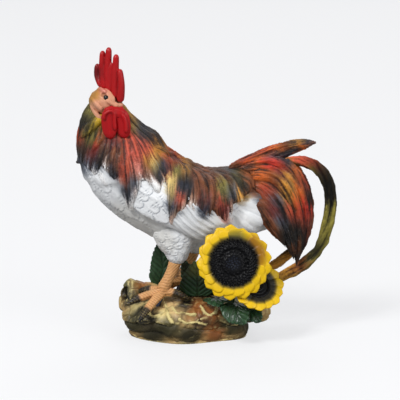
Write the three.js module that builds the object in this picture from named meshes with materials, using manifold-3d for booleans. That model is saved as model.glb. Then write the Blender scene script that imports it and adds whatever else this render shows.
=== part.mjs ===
// Painted cast-resin rooster on a log base with two sunflowers, as an assembly of glued castings.
// Millimetres, +Z up. The rooster faces -X, its left side faces -Y, and the base stands on z = 0.
import * as THREE from "three";
import { mergeVertices } from "three/addons/utils/BufferGeometryUtils.js";
import Module from "manifold-3d";

const wasm = await Module();
wasm.setup();

// Joints between castings
const GLUE_GAP = 0.3;
const SHELL_WALL = 7;

// Base: a mound of bark closed by a plate, with a hollow log end at the front
const BASE_LENGTH = 194;
const BASE_DEPTH = 148;
const BASE_HEIGHT = 60;
const BASE_CENTRE_X = -21;
const BASE_LOBE = 0.04;
const BASE_SKEW = 0.07;
const ROCK_RELIEF = 0.06;
const LEDGE_WAVE = 0.09;
const BASE_WALL = 8;
const HOLLOW_OVERRUN = 1;
const PLATE_THICKNESS = 4;
const DRAIN_DIAMETER = 12;
const DRAIN_X = -60;
const LOG_RADIUS = 25;
const LOG_BORE = 13;
const LOG_LENGTH = 70;
const LOG_BORE_DEPTH = 40;
const LOG_TURN = 14;
const LOG_ROUND = 4;

// Torso: shares of these four sizes shape everything that lies on the body
const TORSO_FRONT_X = -184;
const TORSO_LENGTH = 280;
const TORSO_WIDTH = 128;
const TORSO_DEPTH = 132;
const TORSO_HEIGHT = 208;

// Feather layers on the torso
const WING_THICKNESS = 6;
const CAPE_THICKNESS = 10;

// Neck and head
const NECK_HEIGHT = 146;
const NECK_WIDTH = 126;
const NECK_LENGTH = 136;
const HEAD_LENGTH = 56;
const HEAD_WIDTH = 41;
const HEAD_HEIGHT = 42;
const HEAD_YAW = 145;
const BEAK_LENGTH = 21;
const BEAK_WIDTH = 20;
const BEAK_UPPER_HEIGHT = 18;
const BEAK_LOWER_HEIGHT = 9;
const EYE_DIAMETER = 9;
const COMB_LENGTH = 48;
const COMB_HEIGHT = 70;
const COMB_THICKNESS = 10;
const WATTLE_LENGTH = 47;
const WATTLE_WIDTH = 26;
const WATTLE_THICKNESS = 15;
const WATTLE_SPLAY = 16;

// Legs
const LEG_SPREAD = 70;
const KNEE_BEND = 3;
const STRIDE = 26;
const LEG_ROD_DIAMETER = 6;
const ROD_IN_BASE = 40;
const ROD_IN_BODY = 30;
const SHANK_DIAMETER = 19;
const TOE_DIAMETER = 14;
const TOE_LENGTH = 52;
const THIGH_DIAMETER = 62;

// Tail
const TAIL_LENGTH = 134;
const TAIL_DROP = 150;
const FEATHER_THICKNESS = 6;
const FEATHER_SPACING = 6.6;
const TOP_PLUME_WIDTH = 26;
const ARCH_PLUME_WIDTH = 30;
const MAIN_PLUME_WIDTH = 38;
const SIDE_PLUME_WIDTH = 36;
const LOW_PLUME_WIDTH = 30;
const RIBBON_THICKNESS = 7;
const RIBBON_WIDTH = 20;

// Sunflowers and leaves
const LARGE_FLOWER_DIAMETER = 106;
const LARGE_DISC_DIAMETER = 68;
const LARGE_FLOWER_RISE = 64;
const SMALL_FLOWER_DIAMETER = 78;
const SMALL_DISC_DIAMETER = 48;
const SMALL_FLOWER_RISE = 22;
const LARGE_FLOWER_TURN = -92;
const LARGE_FLOWER_TILT = -12;
const SMALL_FLOWER_TURN = -70;
const SMALL_FLOWER_TILT = -36;
const PETAL_THICKNESS = 5;
const PETAL_COUNT = 16;
const PETAL_CUP = 7;
const PETAL_WAVE = 2.4;
const DISC_DOME = 13;
const STALK_DIAMETER = 11;
const STALK_BEND = 26;
const LEAF_THICKNESS = 6;
const LEAF_WIDTH = 48;
const LEAF_ARCH = 14;

// Mesh fineness
const ROUND_STEPS = 16;
const SMALL_ROUND_STEPS = 10;
const BLADE_STEPS = 8;
const BASE_STEPS = 48;
const TOE_STEPS = 6;
const TOE_RINGS = 7;
const STALK_RINGS = 10;
const RINGS_PER_STATION = 1.6;
const MERGE_LENGTH = 0.1;

const SIDE = new THREE.Vector3(0, 1, 0);
const AHEAD = new THREE.Vector3(1, 0, 0);
const LEFT = -1;
const RIGHT = 1;

// A closed geometry as a solid, with its faces turned outwards.
function solidOf(geometry) {
  const bare = geometry.index ? geometry.toNonIndexed() : geometry.clone();
  for (const name of Object.keys(bare.attributes)) {
    if (name !== "position") bare.deleteAttribute(name);
  }
  const merged = mergeVertices(bare, 1e-4);
  const triVerts = new Uint32Array(merged.index.array);
  const vertProperties = new Float32Array(merged.attributes.position.array);
  const made = new wasm.Manifold(new wasm.Mesh({ numProp: 3, vertProperties, triVerts }));
  if (made.volume() >= 0) return made;
  for (let i = 0; i < triVerts.length; i += 3) {
    [triVerts[i + 1], triVerts[i + 2]] = [triVerts[i + 2], triVerts[i + 1]];
  }
  return new wasm.Manifold(new wasm.Mesh({ numProp: 3, vertProperties, triVerts }));
}

function geometryOf(solid) {
  const mesh = solid.getMesh();
  const geometry = new THREE.BufferGeometry();
  geometry.setAttribute("position", new THREE.BufferAttribute(new Float32Array(mesh.vertProperties), 3));
  geometry.setIndex(new THREE.BufferAttribute(new Uint32Array(mesh.triVerts), 1));
  return geometry;
}

// Smooth value at share t of a list of numbers, through their squares so that ends close round.
function roundValue(values, t) {
  const squares = new THREE.CatmullRomCurve3(values.map((v) => new THREE.Vector3(v * v, 0, 0)));
  return Math.sqrt(Math.max(0, squares.getPoint(t).x));
}

// A closed body swept along stations.
// Each station has at (a point), half (sideways), up and down (across the spine).
// grow moves the whole skin outwards, which gives the clearance copy that cuts a neighbour.
function loft(stations, grow, around = ROUND_STEPS, ringCount = 0, side = SIDE) {
  const rings = ringCount || Math.ceil(RINGS_PER_STATION * (stations.length - 1));
  const spine = new THREE.CatmullRomCurve3(stations.map((s) => s.at));
  const geometry = new THREE.SphereGeometry(1, around, rings);
  const position = geometry.attributes.position;
  const point = new THREE.Vector3();
  for (let ring = 0; ring <= rings; ring++) {
    const t = ring / rings;
    const tangent = spine.getTangent(t);
    const up = new THREE.Vector3().crossVectors(tangent, side).normalize();
    const across = new THREE.Vector3().crossVectors(up, tangent).normalize();
    const isEnd = ring === 0 || ring === rings;
    const half = roundValue(stations.map((s) => s.half), t) + grow;
    const over = roundValue(stations.map((s) => s.up), t) + grow;
    const under = roundValue(stations.map((s) => s.down ?? s.up), t) + grow;
    for (let step = 0; step <= around; step++) {
      const angle = (2 * Math.PI * step) / around;
      point.copy(spine.getPoint(t));
      if (isEnd) {
        point.addScaledVector(tangent, ring === 0 ? -grow : grow);
      } else {
        point.addScaledVector(across, half * Math.cos(angle));
        point.addScaledVector(up, (Math.sin(angle) > 0 ? over : under) * Math.sin(angle));
      }
      position.setXYZ(ring * (around + 1) + step, point.x, point.y, point.z);
    }
  }
  return solidOf(geometry);
}

function station(x, y, z, half, up, down = up) {
  return { at: new THREE.Vector3(x, y, z), half, up, down };
}

function place(solid, matrix) {
  return solid.transform(matrix.elements);
}

// A frame at a position, turned about Z by yaw and then about its own Y by pitch, in degrees.
function frameAt(position, yaw, pitch = 0) {
  const turn = new THREE.Euler(0, THREE.MathUtils.degToRad(pitch), THREE.MathUtils.degToRad(yaw), "ZYX");
  return new THREE.Matrix4().makeRotationFromEuler(turn).setPosition(position);
}

// Torso

// A point of the side view in shares of the torso: along from the breast, high from its mid height.
function onTorso(along, high) {
  return new THREE.Vector2(TORSO_FRONT_X + along * TORSO_LENGTH, TORSO_HEIGHT + high * TORSO_DEPTH);
}

function torsoStation(along, high, half, up, down) {
  const place = onTorso(along, high);
  return station(place.x, 0, place.y, half * TORSO_WIDTH, up * TORSO_DEPTH, down * TORSO_DEPTH);
}

const TORSO_STATIONS = [
  torsoStation(0.0, 0.34, 0, 0, 0),
  torsoStation(0.05, 0.33, 0.2, 0.17, 0.14),
  torsoStation(0.12, 0.29, 0.3, 0.3, 0.31),
  torsoStation(0.21, 0.23, 0.38, 0.39, 0.4),
  torsoStation(0.335, 0.12, 0.45, 0.43, 0.47),
  torsoStation(0.495, 0.01, 0.49, 0.34, 0.54),
  torsoStation(0.655, -0.05, 0.45, 0.28, 0.48),
  torsoStation(0.82, -0.02, 0.34, 0.28, 0.39),
  torsoStation(0.93, 0.0, 0.22, 0.22, 0.26),
  torsoStation(1.0, 0.0, 0, 0, 0),
];

function torso(grow, around = ROUND_STEPS) {
  return loft(TORSO_STATIONS, grow, around);
}

// A side-view outline, extruded across the figure from y = near to y = far.
function sideSlab(points, near, far) {
  const shape = new THREE.Shape(points);
  const geometry = new THREE.ExtrudeGeometry(shape, { depth: far - near, bevelEnabled: false });
  geometry.rotateX(Math.PI / 2).translate(0, far, 0);
  return solidOf(geometry);
}

// Moves a closed outline outwards by a distance, corner by corner.
function growOutline(points, distance) {
  const turned = THREE.ShapeUtils.area(points) > 0 ? 1 : -1;
  return points.map((point, i) => {
    const before = points[(i + points.length - 1) % points.length];
    const after = points[(i + 1) % points.length];
    const along = after.clone().sub(before).normalize();
    return point.clone().add(new THREE.Vector2(along.y, -along.x).multiplyScalar(turned * distance));
  });
}

// A layer of feathers: the part of the thickened torso inside a side-view outline.
function featherLayer(outline, thickness, grow, near = -TORSO_WIDTH, far = TORSO_WIDTH) {
  return torso(thickness + grow).intersect(sideSlab(growOutline(outline, grow), near, far));
}

const WING_OUTLINE = [
  onTorso(0.26, 0.3),
  onTorso(0.23, 0.14),
  onTorso(0.26, 0.0),
  onTorso(0.33, -0.12),
  onTorso(0.45, -0.24),
  onTorso(0.58, -0.36),
  onTorso(0.69, -0.48),
  onTorso(0.75, -0.44),
  onTorso(0.79, -0.22),
  onTorso(0.8, 0.06),
  onTorso(0.62, 0.14),
  onTorso(0.42, 0.28),
];

function wing(side) {
  const near = side === LEFT ? -TORSO_WIDTH : 0.1 * TORSO_WIDTH;
  const far = side === LEFT ? -0.1 * TORSO_WIDTH : TORSO_WIDTH;
  return (grow) => featherLayer(WING_OUTLINE, WING_THICKNESS, grow, near, far);
}

// The saddle hangs from the back in pointed locks that overlap the wings.
const SADDLE_OUTLINE = [
  onTorso(0.505, 0.7),
  onTorso(0.455, 0.34),
  onTorso(0.46, 0.0),
  onTorso(0.475, -0.24),
  onTorso(0.51, 0.0),
  onTorso(0.53, -0.09),
  onTorso(0.57, 0.06),
  onTorso(0.63, -0.22),
  onTorso(0.68, 0.0),
  onTorso(0.76, -0.22),
  onTorso(0.79, 0.0),
  onTorso(0.84, 0.02),
  onTorso(0.89, 0.12),
  onTorso(0.9, 0.7),
];

function saddle(grow) {
  return featherLayer(SADDLE_OUTLINE, CAPE_THICKNESS, grow);
}

// Fan of white fluff under the tail.
function ventFluff(grow) {
  const stations = [
    torsoStation(0.78, -0.14, 0, 0, 0),
    torsoStation(0.856, -0.2, 0.32, 0.24, 0.28),
    torsoStation(0.92, -0.2, 0.27, 0.2, 0.24),
    torsoStation(1.0, -0.24, 0.14, 0.1, 0.12),
    torsoStation(1.03, -0.24, 0, 0, 0),
  ];
  return loft(stations, grow);
}

// Neck and hackle

const NECK_FOOT = onTorso(0.255, 0.03);
const NECK_TOP = new THREE.Vector3(NECK_FOOT.x - 0.25 * NECK_LENGTH, 0, NECK_FOOT.y + NECK_HEIGHT);

// lean runs from 0 at the neck's foot to 1 under the head.
function neckStation(rise, lean, half, rear, front) {
  const x = NECK_FOOT.x + lean * (NECK_TOP.x - NECK_FOOT.x);
  const z = NECK_FOOT.y + rise * NECK_HEIGHT;
  return station(x, 0, z, half * NECK_WIDTH, rear * NECK_LENGTH, front * NECK_LENGTH);
}

const NECK_STATIONS = [
  neckStation(1.0, 1.0, 0, 0, 0),
  neckStation(0.9, 1.0, 0.15, 0.2, 0.21),
  neckStation(0.74, 0.92, 0.22, 0.29, 0.32),
  neckStation(0.555, 0.68, 0.31, 0.39, 0.41),
  neckStation(0.37, 0.3, 0.43, 0.49, 0.51),
  neckStation(0.19, 0.0, 0.48, 0.46, 0.44),
  neckStation(0.0, 0.0, 0, 0, 0),
];

function neck(grow, around = ROUND_STEPS) {
  return loft(NECK_STATIONS, grow, around);
}

// The hackle's lower edge in side view, a row of pointed locks over the breast and the wing.
const HACKLE_OUTLINE = [
  onTorso(-0.2, 1.4),
  onTorso(-0.2, 0.32),
  onTorso(-0.036, 0.32),
  onTorso(0.005, 0.42),
  onTorso(0.083, 0.3),
  onTorso(0.115, 0.43),
  onTorso(0.18, 0.26),
  onTorso(0.2, 0.4),
  onTorso(0.262, -0.1),
  onTorso(0.33, 0.32),
  onTorso(0.41, 0.14),
  onTorso(0.445, 0.36),
  onTorso(0.495, 0.7),
  onTorso(0.495, 1.4),
];

function hackle(grow) {
  const cape = torso(CAPE_THICKNESS + grow).add(neck(grow));
  return cape.intersect(sideSlab(growOutline(HACKLE_OUTLINE, grow), -TORSO_WIDTH, TORSO_WIDTH));
}

// The body takes in the foot of the neck up to this share of its depth, to wall the breast under the hackle.
const BREAST_TOP = 0.5;
const BREAST_OUTLINE = [
  onTorso(-0.2, -1),
  onTorso(0.6, -1),
  onTorso(0.6, BREAST_TOP),
  onTorso(-0.2, BREAST_TOP),
];

function body(grow) {
  const foot = neck(grow - 0.5 * SHELL_WALL);
  return torso(grow).add(foot.intersect(sideSlab(BREAST_OUTLINE, -TORSO_WIDTH, TORSO_WIDTH)));
}

function cavity() {
  return torso(-SHELL_WALL, SMALL_ROUND_STEPS).add(neck(-SHELL_WALL, SMALL_ROUND_STEPS));
}

// Head, in a frame at the skull's middle, with the beak along -X.
// It is turned to look back over the left shoulder.

const HEAD_PLACE = new THREE.Vector3(
  NECK_TOP.x + 0.05 * HEAD_LENGTH,
  -0.39 * HEAD_WIDTH,
  NECK_TOP.z - 0.07 * HEAD_HEIGHT,
);
const HEAD_FRAME = frameAt(HEAD_PLACE, HEAD_YAW);
const BEAK_ROOT_X = -0.14 * HEAD_LENGTH;

function headStation(ahead, high, half, up, down) {
  return station(
    -ahead * HEAD_LENGTH,
    0,
    high * HEAD_HEIGHT,
    half * HEAD_WIDTH,
    up * HEAD_HEIGHT,
    down * HEAD_HEIGHT,
  );
}

function skull(grow) {
  const stations = [
    headStation(-0.5, -0.26, 0, 0, 0),
    headStation(-0.36, -0.18, 0.36, 0.34, 0.36),
    headStation(-0.04, -0.02, 0.5, 0.52, 0.48),
    headStation(0.16, -0.02, 0.42, 0.44, 0.4),
    headStation(0.29, -0.02, 0.26, 0.24, 0.28),
    headStation(0.4, -0.02, 0, 0, 0),
  ];
  return place(loft(stations, grow), HEAD_FRAME);
}

// One half of the beak, from inside the face to its tip.
// Heights are shares of the head above the skull's middle.
function beakHalf(rootHigh, tipHigh, half, height, overShare) {
  const at = (share, bend, size) => {
    const high = (rootHigh + (tipHigh - rootHigh) * bend) * HEAD_HEIGHT;
    const over = size * overShare * height;
    return station(BEAK_ROOT_X - share * BEAK_LENGTH, 0, high, size * half, over, size * height - over);
  };
  const stations = [at(-0.3, 0, 0), at(-0.05, 0, 1), at(0.45, 0.3, 0.95), at(0.8, 0.7, 0.6), at(1, 1, 0)];
  return (grow) => place(loft(stations, grow, SMALL_ROUND_STEPS), HEAD_FRAME);
}

const beakUpper = beakHalf(-0.04, -0.2, 0.5 * BEAK_WIDTH, BEAK_UPPER_HEIGHT, 0.61);
const beakLower = beakHalf(-0.36, -0.46, 0.44 * BEAK_WIDTH, BEAK_LOWER_HEIGHT, 0.45);

function eye(side) {
  const middle = new THREE.Vector3(-0.1 * HEAD_LENGTH, side * 0.38 * HEAD_WIDTH, 0.24 * HEAD_HEIGHT);
  return (grow) => {
    const ball = new THREE.SphereGeometry(EYE_DIAMETER / 2 + grow, SMALL_ROUND_STEPS, SMALL_ROUND_STEPS);
    ball.translate(middle.x, middle.y, middle.z);
    return place(solidOf(ball), HEAD_FRAME);
  };
}

// The comb is an upright plate with five points, in shares of its length and height from its front foot.
function comb(grow) {
  const at = (along, high) =>
    new THREE.Vector2((along - 0.56) * COMB_LENGTH, 0.2 * HEAD_HEIGHT + high * COMB_HEIGHT);
  const outline = [
    at(0.7, -0.14),
    at(0.16, -0.22),
    at(0.04, -0.16),
    at(0.0, 0.14),
    at(0.02, 0.34),
    at(0.08, 0.56),
    at(0.16, 0.64),
    at(0.2, 0.82),
    at(0.28, 0.84),
    at(0.4, 0.74),
    at(0.49, 0.96),
    at(0.58, 0.95),
    at(0.68, 0.77),
    at(0.76, 0.88),
    at(0.85, 0.85),
    at(0.9, 0.68),
    at(0.96, 0.66),
    at(1.0, 0.48),
    at(0.98, 0.26),
    at(0.86, 0.08),
  ];
  const bevel = 0.25 * COMB_THICKNESS;
  const geometry = new THREE.ExtrudeGeometry(new THREE.Shape(growOutline(outline, grow - bevel)), {
    depth: COMB_THICKNESS - 2 * bevel + 2 * grow,
    bevelThickness: bevel,
    bevelSize: bevel,
    bevelSegments: 1,
  });
  geometry.translate(0, 0, -COMB_THICKNESS / 2 + bevel - grow).rotateX(Math.PI / 2);
  return place(solidOf(geometry), HEAD_FRAME);
}

// The wattles hang side by side from the chin and lie on the left side of the neck.
const CHIN = new THREE.Vector3(-0.3 * HEAD_LENGTH, 0, -0.14 * HEAD_HEIGHT).applyMatrix4(HEAD_FRAME);
const CHIN_FRAME = frameAt(CHIN, 0);

function wattle(side) {
  const at = (share, thick, wide) =>
    station(
      -side * (0.3 + 0.14 * share) * WATTLE_WIDTH,
      -share * WATTLE_SPLAY,
      -share * WATTLE_LENGTH,
      thick * WATTLE_THICKNESS,
      wide * WATTLE_WIDTH,
    );
  const stations = [at(-0.02, 0, 0), at(0.14, 0.4, 0.42), at(0.55, 0.5, 0.5), at(0.86, 0.4, 0.42), at(1, 0, 0)];
  return (grow) => place(loft(stations, grow, SMALL_ROUND_STEPS), CHIN_FRAME);
}

// Legs

const HIP = onTorso(0.495, -0.36);
const FOOT_X = HIP.x - 0.9 * SHANK_DIAMETER;

function legLine(side) {
  const y = (side * LEG_SPREAD) / 2;
  const back = side === RIGHT ? STRIDE : 0;
  const hip = new THREE.Vector3(HIP.x + back, 0.86 * y, HIP.y);
  const knee = new THREE.Vector3(HIP.x + back + KNEE_BEND, 0.95 * y, HIP.y - 0.38 * (HIP.y - BASE_HEIGHT));
  const ankle = new THREE.Vector3(FOOT_X + back, y, BASE_HEIGHT + 0.6 * SHANK_DIAMETER);
  return { hip, knee, ankle };
}

// A straight steel rod from inside the base to inside the body.
function legRod(side) {
  const { knee, ankle } = legLine(side);
  const along = knee.clone().sub(ankle).normalize();
  const foot = ankle.clone().addScaledVector(along, -ROD_IN_BASE);
  const top = knee.clone().addScaledVector(along, HIP.y - knee.z + ROD_IN_BODY);
  return (grow) => {
    const radius = LEG_ROD_DIAMETER / 2 + grow;
    const length = foot.distanceTo(top) + 2 * grow;
    const rod = new THREE.CylinderGeometry(radius, radius, length, SMALL_ROUND_STEPS);
    const turn = new THREE.Quaternion().setFromUnitVectors(SIDE, along);
    const middle = foot.clone().add(top).multiplyScalar(0.5);
    return place(solidOf(rod), new THREE.Matrix4().makeRotationFromQuaternion(turn).setPosition(middle));
  };
}

function thigh(side) {
  const { hip, knee } = legLine(side);
  const radius = THIGH_DIAMETER / 2;
  const stations = [
    station(hip.x, 0.7 * hip.y, hip.z + radius, 0, 0),
    station(hip.x, 0.9 * hip.y, hip.z + 0.45 * radius, 0.78 * radius, 1.15 * radius),
    station(hip.x, hip.y, hip.z - 0.25 * radius, 0.75 * radius, radius),
    station(knee.x, knee.y, knee.z + 0.32 * radius, 0.52 * radius, 0.61 * radius),
    station(knee.x, knee.y, knee.z - 0.1 * radius, 0.38 * radius, 0.4 * radius),
    station(knee.x, knee.y, knee.z - 0.3 * radius, 0, 0),
  ];
  return (grow) => loft(stations, grow);
}

// Toe directions round the foot: turn from straight ahead, drop of the tip and share of the toe length.
const TOES = [
  { turn: 12, drop: 0.2, reach: 1.0 },
  { turn: 52, drop: 0.48, reach: 1.0 },
  { turn: -34, drop: 0.0, reach: 0.8 },
  { turn: 176, drop: 0.12, reach: 0.66 },
];

function toe(ankle, side, { turn, drop, reach }, grow) {
  const angle = THREE.MathUtils.degToRad(turn);
  const ahead = new THREE.Vector3(-Math.cos(angle), side * Math.sin(angle), 0);
  const length = reach * TOE_LENGTH;
  const radius = TOE_DIAMETER / 2;
  const at = (share, lift, size) => {
    const middle = ankle.clone().addScaledVector(ahead, share * length);
    const z = middle.z + lift * radius - share * drop * length;
    return station(middle.x, middle.y, z, size * radius, size * radius);
  };
  const cross = new THREE.Vector3(-ahead.y, ahead.x, 0);
  const stations = [
    at(-0.1, 0, 0),
    at(0.06, 0.2, 1.05),
    at(0.4, 0.3, 0.95),
    at(0.74, 0.0, 0.9),
    at(1.0, -0.5, 0.5),
    at(1.14, -1.0, 0),
  ];
  return loft(stations, grow, TOE_STEPS, TOE_RINGS, cross);
}

function leg(side) {
  const { knee, ankle } = legLine(side);
  const radius = SHANK_DIAMETER / 2;
  return (grow) => {
    const shank = loft(
      [
        station(knee.x, knee.y, knee.z + 1.3 * radius, 0, 0),
        station(knee.x, knee.y, knee.z + 0.3 * radius, 1.02 * radius, 1.1 * radius),
        station((knee.x + ankle.x) / 2, ankle.y, (knee.z + ankle.z) / 2, 0.86 * radius, 0.86 * radius),
        station(ankle.x, ankle.y, ankle.z + 0.6 * radius, 0.95 * radius, radius),
        station(ankle.x, ankle.y, ankle.z - 0.6 * radius, 0, 0),
      ],
      grow,
      SMALL_ROUND_STEPS,
    );
    return TOES.reduce((made, one) => made.add(toe(ankle, side, one, grow)), shank);
  };
}

// Tail

// A feather along points of the side view, thin across the figure, at its widest share from the root.
function feather(points, y, width, thickness, tipY = y) {
  const last = points.length - 1;
  return (grow) =>
    loft(
      points.map((point, i) => {
        const share = i / last;
        const isEnd = i === 0 || i === last;
        const swell = isEnd ? 0 : Math.sin(Math.PI * Math.min(0.92, 0.18 + 0.74 * share));
        const across = y + (tipY - y) * share;
        return station(point.x, across, point.y, isEnd ? 0 : thickness / 2, (swell * width) / 2);
      }),
      grow,
      BLADE_STEPS,
    );
}

const TAIL_ROOT = onTorso(0.83, 0.2);

// A point of the tail in side view, in shares of its length and drop from its root.
function onTail(back, high) {
  return new THREE.Vector2(TAIL_ROOT.x + back * TAIL_LENGTH, TAIL_ROOT.y + high * TAIL_DROP);
}

const TOP_PLUME = [
  onTail(-0.22, 0),
  onTail(0.03, 0.12),
  onTail(0.31, 0.23),
  onTail(0.63, 0.33),
  onTail(0.84, 0.36),
];
const ARCH_PLUME = [
  onTail(-0.15, -0.05),
  onTail(0.1, 0.09),
  onTail(0.39, 0.16),
  onTail(0.6, 0.03),
  onTail(0.72, -0.24),
  onTail(0.73, -0.51),
  onTail(0.64, -0.81),
];
const MAIN_PLUME = [
  onTail(-0.1, -0.12),
  onTail(0.16, 0.01),
  onTail(0.4, -0.01),
  onTail(0.57, -0.25),
  onTail(0.64, -0.53),
  onTail(0.63, -0.87),
];
const SIDE_PLUME = [
  onTail(-0.07, -0.17),
  onTail(0.18, -0.11),
  onTail(0.4, -0.24),
  onTail(0.54, -0.51),
  onTail(0.6, -0.79),
];
const LOW_PLUME = [onTail(-0.03, -0.24), onTail(0.18, -0.23), onTail(0.36, -0.39), onTail(0.51, -0.65)];
const OUTER_SICKLE = [
  onTail(0.25, 0.05),
  onTail(0.49, 0.16),
  onTail(0.73, 0.17),
  onTail(0.91, 0.07),
  onTail(1, -0.15),
  onTail(0.97, -0.44),
  onTail(0.87, -0.71),
  onTail(0.69, -0.91),
  onTail(0.48, -1),
];
const INNER_SICKLE = [
  onTail(0.22, 0.01),
  onTail(0.43, 0.07),
  onTail(0.64, 0.03),
  onTail(0.73, -0.16),
  onTail(0.76, -0.43),
  onTail(0.7, -0.67),
  onTail(0.58, -0.8),
  onTail(0.37, -0.89),
];

// Sunflowers, each in a frame at its middle that faces along +X

// A point over the base, in shares of its length from its middle, its depth and its height.
function onBase(along, across, rise) {
  return new THREE.Vector3(BASE_CENTRE_X + along * BASE_LENGTH, across * BASE_DEPTH, rise * BASE_HEIGHT);
}

const LARGE_FLOWER_PLACE = onBase(0.315, -0.486, 1).setZ(BASE_HEIGHT + LARGE_FLOWER_RISE);
const SMALL_FLOWER_PLACE = onBase(0.48, -0.365, 1).setZ(BASE_HEIGHT + SMALL_FLOWER_RISE);
const LARGE_FLOWER_FRAME = frameAt(LARGE_FLOWER_PLACE, LARGE_FLOWER_TURN, LARGE_FLOWER_TILT);
const SMALL_FLOWER_FRAME = frameAt(SMALL_FLOWER_PLACE, SMALL_FLOWER_TURN, SMALL_FLOWER_TILT);

// A dished ring of petals, from a lathe whose rim is drawn in between the petals.
function petals(diameter, discDiameter, frame) {
  const rim = diameter / 2;
  const inner = 0.86 * (discDiameter / 2);
  return (grow) => {
    const front = PETAL_THICKNESS / 2 + grow;
    const profile = [
      new THREE.Vector2(0, -front - 0.8 * PETAL_THICKNESS),
      new THREE.Vector2(inner, -front - 0.4 * PETAL_THICKNESS),
      new THREE.Vector2(0.75 * rim, -front),
      new THREE.Vector2(rim + grow, 0),
      new THREE.Vector2(0.75 * rim, front),
      new THREE.Vector2(inner, front - 0.2 * PETAL_THICKNESS),
      new THREE.Vector2(0, front - 0.2 * PETAL_THICKNESS),
    ];
    const geometry = new THREE.LatheGeometry(profile, 4 * PETAL_COUNT);
    const position = geometry.attributes.position;
    for (let i = 0; i < position.count; i++) {
      const [x, y, z] = [position.getX(i), position.getY(i), position.getZ(i)];
      const radius = Math.hypot(x, z);
      const turn = Math.atan2(z, x);
      const outside = Math.max(0, (radius - inner) / (rim - inner));
      const drawIn = 1 - 0.2 * outside * (0.5 - 0.5 * Math.cos(PETAL_COUNT * turn));
      const wave = PETAL_WAVE * Math.cos((PETAL_COUNT / 2) * turn);
      const cup = PETAL_CUP * outside * outside + wave * outside;
      position.setXYZ(i, x * drawIn, y + cup, z * drawIn);
    }
    geometry.rotateZ(-Math.PI / 2);
    return place(solidOf(geometry), frame);
  };
}

// The seed disc is a domed boss with a ring groove, standing on the petals.
function seedDisc(diameter, frame) {
  return (grow) => {
    const rim = diameter / 2 + grow;
    const seat = 0.1 * PETAL_THICKNESS - grow;
    const high = DISC_DOME + grow;
    const profile = [
      new THREE.Vector2(0, seat),
      new THREE.Vector2(0.8 * rim, seat),
      new THREE.Vector2(rim, seat + 0.3 * high),
      new THREE.Vector2(0.94 * rim, seat + 0.66 * high),
      new THREE.Vector2(0.74 * rim, seat + 0.9 * high),
      new THREE.Vector2(0.56 * rim, seat + 0.76 * high),
      new THREE.Vector2(0.36 * rim, seat + high),
      new THREE.Vector2(0, seat + 0.92 * high),
    ];
    const geometry = new THREE.LatheGeometry(profile, ROUND_STEPS);
    geometry.rotateZ(-Math.PI / 2);
    return place(solidOf(geometry), frame);
  };
}

// A stalk from a foot in the base to the back of a flower.
function stalk(frame, foot) {
  const back = new THREE.Vector3(-PETAL_THICKNESS, 0, 0).applyMatrix4(frame);
  const behind = new THREE.Vector3(-STALK_BEND, 0, -0.2 * STALK_BEND).applyMatrix4(frame);
  const radius = STALK_DIAMETER / 2;
  return (grow) =>
    loft(
      [
        station(foot.x, foot.y, foot.z - 2 * radius, 0, 0),
        station(foot.x, foot.y, foot.z, radius, radius),
        station(behind.x, behind.y, 0.5 * (behind.z + BASE_HEIGHT), radius, radius),
        station(behind.x, behind.y, behind.z, radius, radius),
        station(back.x, back.y, back.z, 0, 0),
      ],
      grow,
      BLADE_STEPS,
      STALK_RINGS,
      AHEAD,
    );
}

// A leaf arched from its foot to its tip.
function leaf(foot, tip, arch, width) {
  const at = (share) => {
    const lift = new THREE.Vector3(0, 0, arch * Math.sin(Math.PI * share));
    return foot.clone().lerp(tip, share).add(lift);
  };
  const half = (share) => (width / 2) * Math.sin(Math.PI * share ** 0.8);
  const shares = [0, 0.2, 0.45, 0.7, 0.9, 1];
  return (grow) =>
    loft(
      shares.map((share) => {
        const isEnd = share === 0 || share === 1;
        const middle = at(share);
        const thick = isEnd ? 0 : LEAF_THICKNESS / 2;
        return station(middle.x, middle.y, middle.z, isEnd ? 0 : half(share), thick);
      }),
      grow,
      SMALL_ROUND_STEPS,
      BLADE_STEPS,
      AHEAD,
    );
}

// Foot, tip, arch and width of each leaf.
const LEAVES = {
  leaf_front_large: leaf(onBase(0.315, -0.33, 0.9), onBase(0.365, -0.554, 0.5), LEAF_ARCH, LEAF_WIDTH),
  leaf_front_right: leaf(onBase(0.41, -0.19, 0.83), onBase(0.5, -0.44, 0.5), LEAF_ARCH, 0.8 * LEAF_WIDTH),
  leaf_under_flower: leaf(onBase(0.17, -0.24, 0.85), onBase(0.21, -0.51, 0.9), LEAF_ARCH, 0.75 * LEAF_WIDTH),
  leaf_beside_leg: leaf(onBase(0.035, -0.07, 0.83), onBase(0.055, -0.2, 2.03), 0.3 * LEAF_ARCH, LEAF_WIDTH),
  leaf_behind_leg: leaf(onBase(-0.215, 0.135, 0.83), onBase(-0.235, 0.176, 2.33), 0, 0.75 * LEAF_WIDTH),
  leaf_rear_left: leaf(onBase(0.165, 0.27, 0.77), onBase(0.285, 0.514, 0.33), LEAF_ARCH, 0.83 * LEAF_WIDTH),
  leaf_rear_right: leaf(onBase(0.315, 0.19, 0.77), onBase(0.425, 0.432, 0.37), LEAF_ARCH, 0.8 * LEAF_WIDTH),
};

// Base

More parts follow.
